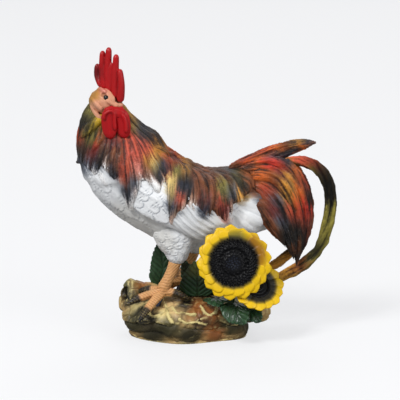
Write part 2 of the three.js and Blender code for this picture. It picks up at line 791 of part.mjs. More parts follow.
// The mound as lobed rings over a drawn-in foot, broken into rocks. inset moves its whole skin inwards.
function mound(inset, low, high) {
  const levels = [
    { rise: 0, size: 0 },
    { rise: 0, size: 0.86 },
    { rise: 0.14, size: 0.9 },
    { rise: 0.3, size: 0.89 },
    { rise: 0.4, size: 0.96 },
    { rise: 0.5, size: 1.0 },
    { rise: 0.62, size: 0.96 },
    { rise: 0.8, size: 0.84 },
    { rise: 0.95, size: 0.6 },
    { rise: 1.0, size: 0 },
  ];
  const around = BASE_STEPS;
  const geometry = new THREE.SphereGeometry(1, around, levels.length - 1);
  const position = geometry.attributes.position;
  levels.forEach(({ rise, size }, row) => {
    const isSide = rise > 0 && rise < 0.8;
    for (let step = 0; step <= around; step++) {
      const angle = (2 * Math.PI * step) / around;
      const ripple = BASE_LOBE * (Math.cos(3 * angle + 0.6) + Math.cos(5 * angle + 2.2));
      const rock = isSide ? ROCK_RELIEF * Math.cos(7 * angle + 9 * rise) * Math.cos(4 * angle - 6 * rise) : 0;
      const lobe = 1 + ripple + rock - BASE_SKEW * Math.cos(angle + 0.7);
      const shrink = size > 0 ? inset : 0;
      const x = BASE_CENTRE_X + (size * lobe * (BASE_LENGTH / 2) - shrink) * Math.cos(angle);
      const y = (size * lobe * (BASE_DEPTH / 2) - shrink) * Math.sin(angle);
      const wave = isSide ? LEDGE_WAVE * Math.cos(6 * angle + 1) : 0;
      position.setXYZ(row * (around + 1) + step, x, y, low + (rise + wave) * (high - low));
    }
  });
  return solidOf(geometry);
}

const LOG_PLACE = new THREE.Vector3(BASE_CENTRE_X - 0.36 * BASE_LENGTH, 0.1 * BASE_DEPTH, 2 * LOG_RADIUS);
const LOG_FRAME = frameAt(LOG_PLACE, LOG_TURN, LOG_TURN);

// A round-ended length of the log, from one place along its axis to another.
function logPiece(radius, front, rear, grow) {
  const stations = [
    station(rear, 0, 0, 0, 0),
    station(rear - LOG_ROUND, 0, 0, radius, radius),
    station(0.5 * (front + rear), 0, 0, 1.04 * radius, radius),
    station(front + LOG_ROUND, 0, 0, radius, 1.05 * radius),
    station(front, 0, 0, 0, 0),
  ];
  return place(loft(stations, grow, SMALL_ROUND_STEPS), LOG_FRAME);
}

function base(grow) {
  const log = logPiece(LOG_RADIUS, -LOG_LENGTH / 2, LOG_LENGTH / 2, grow);
  return mound(-grow, -grow, BASE_HEIGHT + grow).add(log);
}

function baseHollow() {
  const mouth = -LOG_LENGTH / 2;
  const bore = logPiece(LOG_BORE, mouth - 2 * LOG_ROUND, mouth + LOG_BORE_DEPTH, 0);
  return mound(BASE_WALL, -HOLLOW_OVERRUN, BASE_HEIGHT - BASE_WALL).add(bore);
}

function basePlate() {
  const plate = mound(BASE_WALL + 2 * GLUE_GAP, -HOLLOW_OVERRUN, BASE_HEIGHT - BASE_WALL);
  const slab = new THREE.BoxGeometry(2 * BASE_LENGTH, 2 * BASE_DEPTH, PLATE_THICKNESS);
  slab.translate(0, 0, PLATE_THICKNESS / 2);
  const bore = DRAIN_DIAMETER / 2;
  const drain = new THREE.CylinderGeometry(bore, bore, BASE_HEIGHT, ROUND_STEPS);
  drain.rotateX(Math.PI / 2).translate(DRAIN_X, 0, 0);
  return plate.intersect(solidOf(slab)).subtract(solidOf(drain));
}

// Assembly

const PAINT = {
  white: { color: 0xe9ecf0, roughness: 0.55, metalness: 0 },
  hackle: { color: 0x8a4a2c, roughness: 0.5, metalness: 0 },
  tail: { color: 0xa4522a, roughness: 0.45, metalness: 0 },
  ribbon: { color: 0x4a4414, roughness: 0.45, metalness: 0 },
  red: { color: 0xb81e22, roughness: 0.35, metalness: 0 },
  skin: { color: 0xd09a78, roughness: 0.5, metalness: 0 },
  horn: { color: 0xd8a284, roughness: 0.45, metalness: 0 },
  eye: { color: 0x0c0a0a, roughness: 0.1, metalness: 0 },
  leg: { color: 0xd0a06a, roughness: 0.5, metalness: 0 },
  steel: { color: 0x8d9094, roughness: 0.35, metalness: 1 },
  petal: { color: 0xe0b018, roughness: 0.45, metalness: 0 },
  seed: { color: 0x14151a, roughness: 0.4, metalness: 0 },
  green: { color: 0x2c4a2c, roughness: 0.4, metalness: 0 },
  bark: { color: 0x4c4426, roughness: 0.6, metalness: 0 },
  board: { color: 0x3c3a34, roughness: 0.8, metalness: 0 },
};

const materials = {};
for (const [name, finish] of Object.entries(PAINT)) materials[name] = new THREE.MeshStandardMaterial(finish);

const figure = new THREE.Group();
figure.name = "rooster_figure";
const seated = [];

// Adds a casting, cut clear of every casting that was seated before it.
function seat(name, paint, form, inside = null) {
  let solid = form(0);
  for (const neighbour of seated) solid = solid.subtract(neighbour);
  if (inside) solid = solid.subtract(inside);
  const bodies = solid.simplify(MERGE_LENGTH).decompose();
  const largest = bodies.reduce((a, b) => (b.volume() > a.volume() ? b : a));
  const mesh = new THREE.Mesh(geometryOf(largest), materials[paint]);
  mesh.name = name;
  figure.add(mesh);
  seated.push(form(GLUE_GAP));
}

const sides = { left: LEFT, right: RIGHT };
const hollowBody = cavity();

for (const [name, side] of Object.entries(sides)) seat("leg_rod_" + name, "steel", legRod(side));
seat("base_shell", "bark", base, baseHollow());
seat("body_shell", "white", body, hollowBody);
for (const [name, side] of Object.entries(sides)) {
  seat("thigh_" + name, "white", thigh(side));
  seat("leg_" + name, "leg", leg(side));
  seat("eye_" + name, "eye", eye(side));
}
seat("comb", "red", comb);
seat("head", "skin", skull);
seat("beak_upper", "horn", beakUpper);
seat("beak_lower", "horn", beakLower);
for (const [name, side] of Object.entries(sides)) {
  seat("wattle_" + name, "red", wattle(side));
  seat("wing_" + name, "white", wing(side));
}
seat("neck_hackle", "hackle", hackle, hollowBody);
seat("saddle_cape", "hackle", saddle);
seat("vent_fluff", "white", ventFluff);

const plume = (points, width, y) => feather(points, y, width, FEATHER_THICKNESS);
const layerAt = (step, side) => side * (step + 0.5) * FEATHER_SPACING;
for (const [name, side] of Object.entries(sides)) {
  const layer = (step) => layerAt(step, side);
  seat("top_plume_" + name, "tail", plume(TOP_PLUME, TOP_PLUME_WIDTH, layer(0)));
  seat("arch_plume_" + name, "tail", plume(ARCH_PLUME, ARCH_PLUME_WIDTH, layer(1)));
  seat("main_plume_" + name, "tail", plume(MAIN_PLUME, MAIN_PLUME_WIDTH, layer(2)));
  seat("side_plume_" + name, "tail", plume(SIDE_PLUME, SIDE_PLUME_WIDTH, layer(3)));
  seat("low_plume_" + name, "tail", plume(LOW_PLUME, LOW_PLUME_WIDTH, layer(4)));
}
seat("outer_sickle", "ribbon", feather(OUTER_SICKLE, layerAt(0.4, LEFT), RIBBON_WIDTH, RIBBON_THICKNESS));
const innerRoot = layerAt(2.4, RIGHT);
const innerTip = layerAt(5, RIGHT);
seat("inner_sickle", "ribbon", feather(INNER_SICKLE, innerRoot, RIBBON_WIDTH, RIBBON_THICKNESS, innerTip));

seat("large_seed_disc", "seed", seedDisc(LARGE_DISC_DIAMETER, LARGE_FLOWER_FRAME));
seat("large_petals", "petal", petals(LARGE_FLOWER_DIAMETER, LARGE_DISC_DIAMETER, LARGE_FLOWER_FRAME));
seat("small_seed_disc", "seed", seedDisc(SMALL_DISC_DIAMETER, SMALL_FLOWER_FRAME));
seat("small_petals", "petal", petals(SMALL_FLOWER_DIAMETER, SMALL_DISC_DIAMETER, SMALL_FLOWER_FRAME));
seat("large_stalk", "green", stalk(LARGE_FLOWER_FRAME, onBase(0.275, -0.243, 0.6)));
seat("small_stalk", "green", stalk(SMALL_FLOWER_FRAME, onBase(0.39, -0.12, 0.6)));
for (const [name, form] of Object.entries(LEAVES)) seat(name, "green", form);

const plate = new THREE.Mesh(geometryOf(basePlate()), materials.board);
plate.name = "base_plate";
figure.add(plate);

export default figure;
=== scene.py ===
"""Looks of a painted resin rooster that stands on a bark base beside two sunflowers."""

import heapq
import logging
import math
import random
from collections.abc import Callable, Sequence
from dataclasses import dataclass, field
from enum import Enum

import bmesh
import bpy
import numpy as np
from bmesh.types import BMesh, BMVert
from bpy.types import Material, Mesh, Node, NodeSocket, NodeTree, Object
from mathutils import Matrix, Vector, noise
from mathutils.bvhtree import BVHTree
from mathutils.kdtree import KDTree
from numpy import ndarray


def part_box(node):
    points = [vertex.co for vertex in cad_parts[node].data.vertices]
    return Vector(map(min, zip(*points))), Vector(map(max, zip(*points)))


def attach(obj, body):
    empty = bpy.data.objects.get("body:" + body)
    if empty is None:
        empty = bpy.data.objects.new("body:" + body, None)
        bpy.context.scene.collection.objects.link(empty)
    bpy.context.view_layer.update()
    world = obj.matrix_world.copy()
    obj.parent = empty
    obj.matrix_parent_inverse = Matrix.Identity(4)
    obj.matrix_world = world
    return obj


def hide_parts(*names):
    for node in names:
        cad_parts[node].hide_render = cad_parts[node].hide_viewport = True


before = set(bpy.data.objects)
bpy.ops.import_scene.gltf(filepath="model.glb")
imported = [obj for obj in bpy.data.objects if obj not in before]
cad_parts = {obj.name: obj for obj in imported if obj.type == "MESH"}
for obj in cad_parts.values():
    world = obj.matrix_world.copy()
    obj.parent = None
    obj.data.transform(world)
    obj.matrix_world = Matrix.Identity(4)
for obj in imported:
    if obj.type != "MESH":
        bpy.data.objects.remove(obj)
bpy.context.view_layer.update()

MM = 0.001
ROOT = "root"
# Metres: welded gap, blur of the feathers' direction, margin of a patch, start of a line of sight.
WELD = 1e-5
FLOW_BLUR = 0.008
PATCH_MARGIN = 0.012
FAR_OUT = 0.4
# Millimetres: an engraved line, broad and fine strokes of the modelling tool.
LINE_WIDTH = 0.75
BROAD_STROKE = 5.0
FINE_STROKE = 1.7
# Facets of a lock, vertices worked on at once, random numbers of the streaks, bits of a cell's number.
LOCK_RINGS = 12
LOCK_SIDES = 10
CHUNK = 4000
CHANCES = 65521
CELL_BITS = 13
TINY = 1e-12
# Shares of a hair line over which the airbrush softens the paint.
SOFTENING = (-0.35, 0.0, 0.35)
UP = Vector((0, 0, 1))
FEATHER_LIE = (0.4, 0, -0.9)
TO_CAMERA = (0.0, -1.0, 0.0)
LOG = logging.getLogger("rooster")

Sculpt = Callable[[ndarray, ndarray, ndarray], ndarray]
Line = tuple[tuple[float, float], ...]
SpaceLine = tuple[tuple[float, float, float], ...]


class Side(Enum):
    """The bird's two sides, by the sign of Y."""

    LEFT = -1
    RIGHT = 1

    @property
    def label(self) -> str:
        """The word that node names end in."""
        return self.name.lower()


class Tip(Enum):
    """How a feather lock ends."""

    POINTED = "pointed"
    ROUNDED = "rounded"
    FINGER = "finger"
    LEAF = "leaf"
    PETAL = "petal"


class Tone(Enum):
    """Paints on the decorator's palette, as 8-bit sRGB."""

    WHITE = (247, 249, 251)
    BELLY_GREY = (228, 227, 223)
    GREY_WASH_AND_SHADE = (128, 136, 150)
    SLATE = (74, 80, 94)
    BLUE_BLACK = (36, 41, 54)
    BLACK = (17, 16, 15)
    RUST = (156, 60, 38)
    SALMON = (192, 80, 60)
    ORANGE = (190, 92, 34)
    RED = (172, 44, 32)
    MAROON = (96, 36, 34)
    BROWN = (114, 64, 38)
    DARK_BROWN = (62, 42, 32)
    OCHRE = (176, 124, 50)
    STRAW = (204, 178, 110)
    YELLOW = (222, 182, 34)
    OLIVE = (118, 110, 50)
    DARK_OLIVE = (54, 52, 30)
    PEACH = (218, 156, 124)
    PINK = (212, 128, 112)
    COMB_RED = (176, 12, 19)
    DEEP_RED = (92, 4, 10)
    LEG_TAN = (220, 164, 108)
    LEG_BROWN = (140, 86, 50)
    PETAL = (238, 194, 12)
    PETAL_BROWN = (150, 100, 16)
    SEED = (10, 10, 13)
    SEED_BLUE = (92, 100, 122)
    LEAF_GREEN = (40, 68, 40)
    LEAF_DARK = (18, 32, 20)
    LEAF_LIGHT = (84, 128, 96)
    BARK = (178, 146, 94)
    BARK_DARK = (52, 48, 30)
    BARK_CREAM = (222, 204, 140)
    BARK_RUST = (158, 94, 46)
    MOSS = (112, 110, 70)
    ROCK_TAN = (222, 186, 128)

    @property
    def srgb(self) -> ndarray:
        """The paint as three shares of one."""
        return np.array(self.value) / 255

    @property
    def rgba(self) -> tuple[float, float, float, float]:
        """The paint as linear colour with full alpha."""
        return (*to_linear(self.srgb), 1.0)


def to_linear(srgb: ndarray) -> ndarray:
    """Turns sRGB shares into linear light."""
    return np.where(srgb <= 0.04045, srgb / 12.92, ((srgb + 0.055) / 1.055) ** 2.4)


def ease(low: float, high: float, value: ndarray) -> ndarray:
    """A smooth step from 0 where the value is low to 1 where it is high."""
    share = np.clip((value - low) / (high - low), 0, 1)
    return share * share * (3 - 2 * share)


def dots(a: ndarray, b: ndarray) -> ndarray:
    """Dot products of two arrays, row by row."""
    return np.einsum("ij,ij->i", a, b)


def curve(knots: ndarray, count: int) -> ndarray:
    """Points on a smooth curve through knots.

    Args:
        knots: Rows of coordinates.
        count: How many points to return.

    Returns:
        Evenly stepped points, one a row.
    """
    padded = np.vstack([2 * knots[0] - knots[1], knots, 2 * knots[-1] - knots[-2]])
    steps = np.linspace(0, len(knots) - 1 - 1e-9, count)
    first = steps.astype(int)
    share = (steps - first)[:, None]
    a, b, c, d = (padded[first + offset] for offset in range(4))
    cubic = (3 * b - a - 3 * c + d) * share**3
    return 0.5 * (2 * b + (c - a) * share + (2 * a - 5 * b + 4 * c - d) * share**2 + cubic)


@dataclass(frozen=True)
class Touch:
    """One puff of the airbrush on both sides of the bird, in millimetres of its side view."""

    x: float
    z: float
    reach: float
    tone: Tone
    strength: float = 1.0


def touches(spots: dict[Tone, tuple[tuple[float, ...], ...]]) -> tuple[Touch, ...]:
    """Lists touches, from rows of x, z, reach and a strength if it isn't 1, for each tone."""
    return tuple(Touch(*row[:3], tone, *row[3:]) for tone, rows in spots.items() for row in rows)


@dataclass(frozen=True)
class Painter:
    """How one casting is coloured before its wash, painted shade, painted highlights and varnish."""

    ground: Tone
    touches: tuple[Touch, ...] = ()
    hold: float = 0.02
    root: Tone | None = None
    root_end: float = 0.6
    root_strength: float = 0.8

    def paint(self, places: ndarray, along: ndarray) -> ndarray:
        """Colours places of the casting.

        Args:
            places: Points in metres, one a row.
            along: Share of the way down the lock at each point.

        Returns:
            sRGB shares, one row a point.
        """
        total = np.full(len(places), self.hold)
        colour = np.tile(self.hold * self.ground.srgb, (len(places), 1))
        for touch in self.touches:
            gap = np.hypot(places[:, 0] - touch.x * MM, places[:, 2] - touch.z * MM)
            share = touch.strength * np.exp(-3 * (gap / (touch.reach * MM)) ** 2)
            total += share
            colour += share[:, None] * touch.tone.srgb
        colour /= total[:, None]
        if self.root:
            share = self.root_strength * (1 - ease(0.6 * self.root_end, self.root_end, along))
            colour += (self.root.srgb - colour) * share[:, None]
        return colour


@dataclass(frozen=True)
class LockShape:
    """Section of a feather lock in millimetres: half width and half thickness at its fullest."""

    width: float
    thickness: float
    tip: Tip = Tip.POINTED
    lift: float = 0.0
    sink: float = 0.0
    taper: float = 0.0

    def half_width(self, share: ndarray, length: float) -> ndarray:
        """Half width along the lock.

        Args:
            share: Share of the way from root to tip.
            length: Length of the lock in metres.

        Returns:
            Half widths in metres.
        """
        swell = 0.45 + 0.55 * ease(0.0, 0.35, share)
        end = np.ones_like(share)
        if self.tip is Tip.POINTED:
            end = 1 - np.clip((share - 0.25) / 0.75, 0, 1) ** 1.7
        elif self.tip is Tip.ROUNDED:
            end = np.sqrt(1 - np.clip((share - 0.5) / 0.5, 0, 1) ** 2.4)
        elif self.tip is Tip.LEAF:
            swell = np.sin(math.pi * np.clip(share, 0.02, 1) ** 0.75) ** 0.8
        elif self.tip is Tip.PETAL:
            swell = 0.7 + 0.3 * ease(0.1, 0.5, share)
            end = 1 - np.clip((share - 0.5) / 0.5, 0, 1) ** 1.7
        else:
            cap = min(0.5, self.width * MM / length)
            swell = np.sqrt(1 - (1 - np.clip(share / cap, 0, 1)) ** 2)
            end = np.sqrt(1 - (1 - np.clip((1 - share) / cap, 0, 1)) ** 2)
        return self.width * MM * swell * end * (1 - self.taper * share)

    def half_thickness(self, share: ndarray, length: float) -> ndarray:
        """Half thickness along the lock.

        Args:
            share: Share of the way from root to tip.
            length: Length of the lock in metres.

        Returns:
            Half thicknesses in metres.
        """
        if self.tip is Tip.FINGER:
            return self.thickness / self.width * self.half_width(share, length)
        swell = 0.5 + 0.5 * ease(0.0, 0.3, share)
        end = np.sqrt(np.clip(1 - share, 0, 1) * 6).clip(0, 1)
        return self.thickness * MM * swell * (1 - 0.35 * share) * end

    def rise(self, share: ndarray) -> ndarray:
        """Height of the lock's middle over the skin in metres, below zero at the root."""
        return (-self.sink + (self.sink + self.lift) * ease(0.0, 0.6, share)) * MM


def into_scene(name: str, data: object) -> Object:
    """Puts a mesh, lamp or camera in the scene.

    Args:
        name: Name of the object.
        data: What it shows.

    Returns:
        The object.
    """
    obj = bpy.data.objects.new(name, data)
    bpy.context.scene.collection.objects.link(obj)
    return obj


def mesh_of(bm: BMesh, name: str) -> Mesh:
    """Turns a mesh in the making into a finished one.

    Args:
        bm: The mesh in the making, which is freed.
        name: Name of the finished mesh.

    Returns:
        The finished mesh.
    """
    mesh = bpy.data.meshes.new(name)
    bm.to_mesh(mesh)
    bm.free()
    return mesh


def tree_of(node: str) -> BVHTree:
    """A CAD node's surface, ready to be searched.

    Args:
        node: Its name.

    Returns:
        The search tree.
    """
    bm = bmesh.new()
    bm.from_mesh(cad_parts[node].data)
    tree = BVHTree.FromBMesh(bm)
    bm.free()
    return tree


class Skin:
    """Smooth outer surface of several castings together, on which feather locks lie."""

    def __init__(self, nodes: Sequence[str], voxel: float, passes: int) -> None:
        """Joins the castings and keeps their outermost surface.

        Args:
            nodes: CAD nodes under the feathers.
            voxel: Grain of the joined surface in millimetres.
            passes: How often it is smoothed.
        """
        bm = bmesh.new()
        for node in nodes:
            bm.from_mesh(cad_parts[node].data)
        bmesh.ops.remove_doubles(bm, verts=bm.verts, dist=WELD)
        mesh = recast(bm, voxel, passes)
        bm.clear()
        bm.from_mesh(mesh)
        bpy.data.meshes.remove(mesh)
        keep_largest(bm)
        bm.normal_update()
        self.core = bm
        self.tree = BVHTree.FromBMesh(bm)
        self.castings = {node: tree_of(node) for node in nodes}
        self.owners = [self.owner(vert.co) for vert in bm.verts]

    def owner(self, place: Vector) -> str:
        """Name of the CAD node that a place on the skin is nearest to."""
        return min(self.castings, key=lambda node: self.castings[node].find_nearest(place)[3])

    def nearest(self, place: Vector) -> tuple[Vector, Vector]:
        """The closest place on the skin and the outward direction there."""
        found, normal, _, _ = self.tree.find_nearest(place)
        return found, normal

    def shoot(self, origin: Vector, aim: Vector) -> tuple[Vector, Vector]:
        """The first place that a line meets, or the closest if it meets none, and its direction."""
        found, normal, _, _ = self.tree.ray_cast(origin, aim)
        return (found, normal) if found else self.nearest(origin + aim * FAR_OUT)


@dataclass
class Trail:
    """Middle line of a lock, with the direction that its outer face looks in."""

    points: list[Vector]
    normals: list[Vector]
    skin: Skin | None = None
    sides: list[Vector] = field(default_factory=list)
    length: float = 0.0

    def __post_init__(self) -> None:
        """Evens the normals and works out the crosswise directions."""
        last = len(self.points) - 1
        mean = [
            (self.normals[max(0, i - 1)] + 2 * self.normals[i] + self.normals[min(last, i + 1)])
            for i in range(last + 1)
        ]
        self.normals = [normal.normalized() for normal in mean]
        for i in range(last + 1):
            ahead = self.points[min(last, i + 1)] - self.points[max(0, i - 1)]
            self.sides.append(self.normals[i].cross(ahead).normalized())
        self.length = sum((b - a).length for a, b in zip(self.points, self.points[1:]))

    def at(self, share: ndarray) -> tuple[ndarray, ndarray, ndarray]:
        """Reads the trail at shares of its length.

        Args:
            share: Numbers from 0 to 1.

        Returns:
            Places, outward directions and crosswise directions, one row a share.
        """
        steps = np.asarray(share) * (len(self.points) - 1)
        first = np.clip(steps.astype(int), 0, len(self.points) - 2)
        rest = (steps - first)[:, None]
        rows = (np.array(self.points), np.array(self.normals), np.array(self.sides))
        return tuple(row[first] * (1 - rest) + row[first + 1] * rest for row in rows)

    @classmethod
    def over(cls, skin: Skin, root: Vector, heading: Vector, length: float, pull: Vector) -> "Trail":
        """Marches over the skin from a root.

        Args:
            skin: What the lock lies on.
            root: Where it grows from.
            heading: The direction that it sets out in.
            length: How far it goes, in millimetres.
            pull: What bends its direction at each step.

        Returns:
            The trail.
        """
        place, normal = skin.nearest(root)
        way = heading.normalized()
        points, normals = [place], [normal]
        for _ in range(LOCK_RINGS):
            way = (way - normal * way.dot(normal)).normalized()
            place, normal = skin.nearest(place + way * length * MM / LOCK_RINGS)
            way = way + pull
            points.append(place)
            normals.append(normal)
        return cls(points, normals, skin)

    @classmethod
    def drawn(cls, skin: Skin, knots: Sequence[tuple[float, float]], side: Side) -> "Trail":
        """Lays a line of the side view on the skin.

        Args:
            skin: What the lock lies on.
            knots: Places along the line, x and z in millimetres.
            side: The side of the bird.

        Returns:
            The trail.
        """
        flat = curve(np.array(knots, float) * MM, LOCK_RINGS + 1)
        aim = Vector((0, -side.value, 0))
        hits = [skin.shoot(Vector((x, side.value * FAR_OUT, z)), aim) for x, z in flat]
        return cls([hit[0] for hit in hits], [hit[1] for hit in hits], skin)

    @classmethod
    def free(cls, knots: ndarray, normals: ndarray) -> "Trail":
        """A line through open space, from places in metres and as many outward directions."""
        points = [Vector(point) for point in curve(knots, LOCK_RINGS + 1)]
        return cls(points, [Vector(normal) for normal in curve(normals, LOCK_RINGS + 1)])

    @classmethod
    def shown(cls, knots: SpaceLine) -> "Trail":
        """A line through places in millimetres whose outer face looks at the camera."""
        return cls.free(np.array(knots) * MM, np.array([TO_CAMERA] * len(knots)))


def keep_largest(bm: BMesh) -> None:
    """Deletes every loose part of a mesh but the one with the most vertices.

    Args:
        bm: The mesh, which is changed.
    """
    left = set(bm.verts)
    parts = []
    while left:
        part, edge = set(), [left.pop()]
        while edge:
            vert = edge.pop()
            part.add(vert)
            near = {e.other_vert(vert) for e in vert.link_edges} & left
            left -= near
            edge.extend(near)
        parts.append(part)
    parts.sort(key=len)
    loose = [vert for part in parts[:-1] for vert in part]
    bmesh.ops.delete(bm, geom=loose, context="VERTS")


def recast(bm: BMesh, voxel: float, passes: int) -> Mesh:
    """Fuses overlapping closed shells into one smooth skin.

    Args:
        bm: The shells.
        voxel: Grain of the skin in millimetres.
        passes: How often it is smoothed.

    Returns:
        A new mesh.
    """
    mesh = bpy.data.meshes.new("shells")
    bm.to_mesh(mesh)
    obj = into_scene("shells", mesh)
    fuse = obj.modifiers.new("fuse", "REMESH")
    fuse.mode = "VOXEL"
    fuse.voxel_size = voxel * MM
    soften = obj.modifiers.new("soften", "SMOOTH")
    soften.factor = 0.5
    soften.iterations = passes
    graph = bpy.context.evaluated_depsgraph_get()
    made = bpy.data.meshes.new_from_object(obj.evaluated_get(graph))
    bpy.data.objects.remove(obj)
    bpy.data.meshes.remove(mesh)
    return made


def read_mesh(mesh: Mesh) -> tuple[ndarray, ndarray, ndarray]:
    """Reads a mesh into arrays.

    Args:
        mesh: The mesh.

    Returns:
        Vertex places, vertex normals and pairs of vertex numbers, one a row.
    """
    places = np.empty(3 * len(mesh.vertices))
    mesh.vertices.foreach_get("co", places)
    normals = np.empty(3 * len(mesh.vertices))
    mesh.vertex_normals.foreach_get("vector", normals)
    edges = np.empty(2 * len(mesh.edges), int)
    mesh.edges.foreach_get("vertices", edges)
    return places.reshape(-1, 3), normals.reshape(-1, 3), edges.reshape(-1, 2)


def hollows(mesh: Mesh, passes: int, depth: float) -> ndarray:
    """How deep each vertex lies below its surroundings.

    Args:
        mesh: A closed skin.
        passes: How far round each vertex the surroundings reach.
        depth: Millimetres that count as fully hollow.

    Returns:
        1 in grooves, 0.5 on even ground, 0 on ridges.
    """
    places, normals, edges = read_mesh(mesh)
    count = np.bincount(edges.ravel(), minlength=len(places))[:, None].clip(1)
    even = places.copy()
    for _ in range(passes):
        total = np.zeros_like(even)
        for axis in range(3):
            total[:, axis] += np.bincount(edges[:, 0], even[edges[:, 1], axis], len(places))
            total[:, axis] += np.bincount(edges[:, 1], even[edges[:, 0], axis], len(places))
        even = 0.4 * even + 0.6 * total / count
    height = dots(places - even, normals)
    return np.clip(0.5 - height / (2 * depth * MM), 0, 1)


def walk(places: ndarray, edges: ndarray, start: int) -> ndarray:
    """Distance over a mesh from one vertex.

    Args:
        places: Vertex places.
        edges: Pairs of vertex numbers.
        start: The vertex to walk from.

    Returns:
        Distances in metres.
    """
    near: list[list[tuple[int, float]]] = [[] for _ in places]
    spans = np.linalg.norm(places[edges[:, 0]] - places[edges[:, 1]], axis=1)
    for (a, b), span in zip(edges.tolist(), spans.tolist()):
        near[a].append((b, span))
        near[b].append((a, span))
    far = np.full(len(places), np.inf)
    far[start] = 0
    queue = [(0.0, start)]
    while queue:
        gone, here = heapq.heappop(queue)
        if gone > far[here]:
            continue
        for other, span in near[here]:
            if gone + span < far[other]:
                far[other] = gone + span
                heapq.heappush(queue, (gone + span, other))
    return far


def add_attribute(mesh: Mesh, name: str, kind: str, values: ndarray) -> None:
    """Stores a value at each vertex.

    Args:
        mesh: The mesh, which is changed.
        name: The attribute's name.
        kind: Blender's attribute type.
        values: One row a vertex.
    """
    key = {"FLOAT_COLOR": "color", "FLOAT_VECTOR": "vector", "FLOAT": "value"}[kind]
    layer = mesh.attributes.new(name, kind, "POINT")
    layer.data.foreach_set(key, np.ascontiguousarray(values, np.float32).ravel())


@dataclass(frozen=True)
class Outline:
    """Engraved edge of a feather: places along it and the way that the feather points at each."""

    places: ndarray
    ahead: ndarray

    @classmethod
    def scallop(cls, trail: Trail, half: float) -> "Outline":
        """The round end of a feather.

        Args:
            trail: The feather's middle line.
            half: Its half width in millimetres.

        Returns:
            The outline.
        """
        ahead = (trail.points[-1] - trail.points[-3]).normalized()
        places = []
        for s in np.linspace(-1, 1, 15):
            bend = (trail.sides[-1] * s - ahead * 1.3 * abs(s) ** 2.6) * half * MM
            places.append(trail.skin.nearest(trail.points[-1] + bend)[0])
        return cls(np.array(places), np.array([ahead] * len(places)))

    @classmethod
    def edge(cls, trail: Trail, way: float) -> "Outline":
        """The long edge of a feather right of a trail, or left of it if the way is -1."""
        places, _, sides = trail.at(np.linspace(0, 1, 1 + int(trail.length / (1.2 * MM))))
        return cls(places, way * sides)


def engrave(places: ndarray, outlines: Sequence[Outline]) -> tuple[ndarray, ndarray]:
    """Overlaps feathers like tiles along their outlines.

    Args:
        places: Vertex places.
        outlines: The feathers' edges.

    Returns:
        Heights in millimetres and shares of thin dark paint in the engraved lines, which also paints
        the shade in them.
    """
    if not outlines:
        return np.zeros(len(places)), np.zeros(len(places))
    spots = np.vstack([outline.places for outline in outlines])
    ahead = np.vstack([outline.ahead for outline in outlines])
    tree = KDTree(len(spots))
    for number, spot in enumerate(spots):
        tree.insert(spot, number)
    tree.balance()
    found = [tree.find(place) for place in places]
    number = np.array([hit[1] for hit in found])
    gap = np.array([hit[2] for hit in found]) / MM
    past = dots(places - spots[number], ahead[number]) / MM
    groove_ink_and_shade = np.exp(-((gap / LINE_WIDTH) ** 2))
    over, under = 0.8 * np.exp(-((gap / 4.5) ** 2)), -0.4 * np.exp(-((gap / 2.0) ** 2))
    return np.where(past < 0, over, under) - 0.6 * groove_ink_and_shade, groove_ink_and_shade


def flow_field(places: ndarray, normals: ndarray, guides: Sequence[Trail]) -> ndarray:
    """The way that feathers lie at each vertex.

    Args:
        places: Vertex places.
        normals: Vertex normals.
        guides: Lines along some of the feathers.

    Returns:
        Unit directions along the skin.
    """
    spots = np.vstack([np.array(trail.points[:-1]) for trail in guides])
    ways = np.vstack([np.diff(np.array(trail.points), axis=0) for trail in guides])
    ways /= np.linalg.norm(ways, axis=1, keepdims=True) + TINY
    lie = np.empty_like(places)
    for start in range(0, len(places), CHUNK):
        part = places[start : start + CHUNK]
        gap = (part**2).sum(1)[:, None] + (spots**2).sum(1) - 2 * part @ spots.T
        lie[start : start + CHUNK] = (np.exp(-gap / (2 * FLOW_BLUR**2)) + TINY) @ ways
    lie -= normals * dots(lie, normals)[:, None]
    return lie / (np.linalg.norm(lie, axis=1, keepdims=True) + TINY)


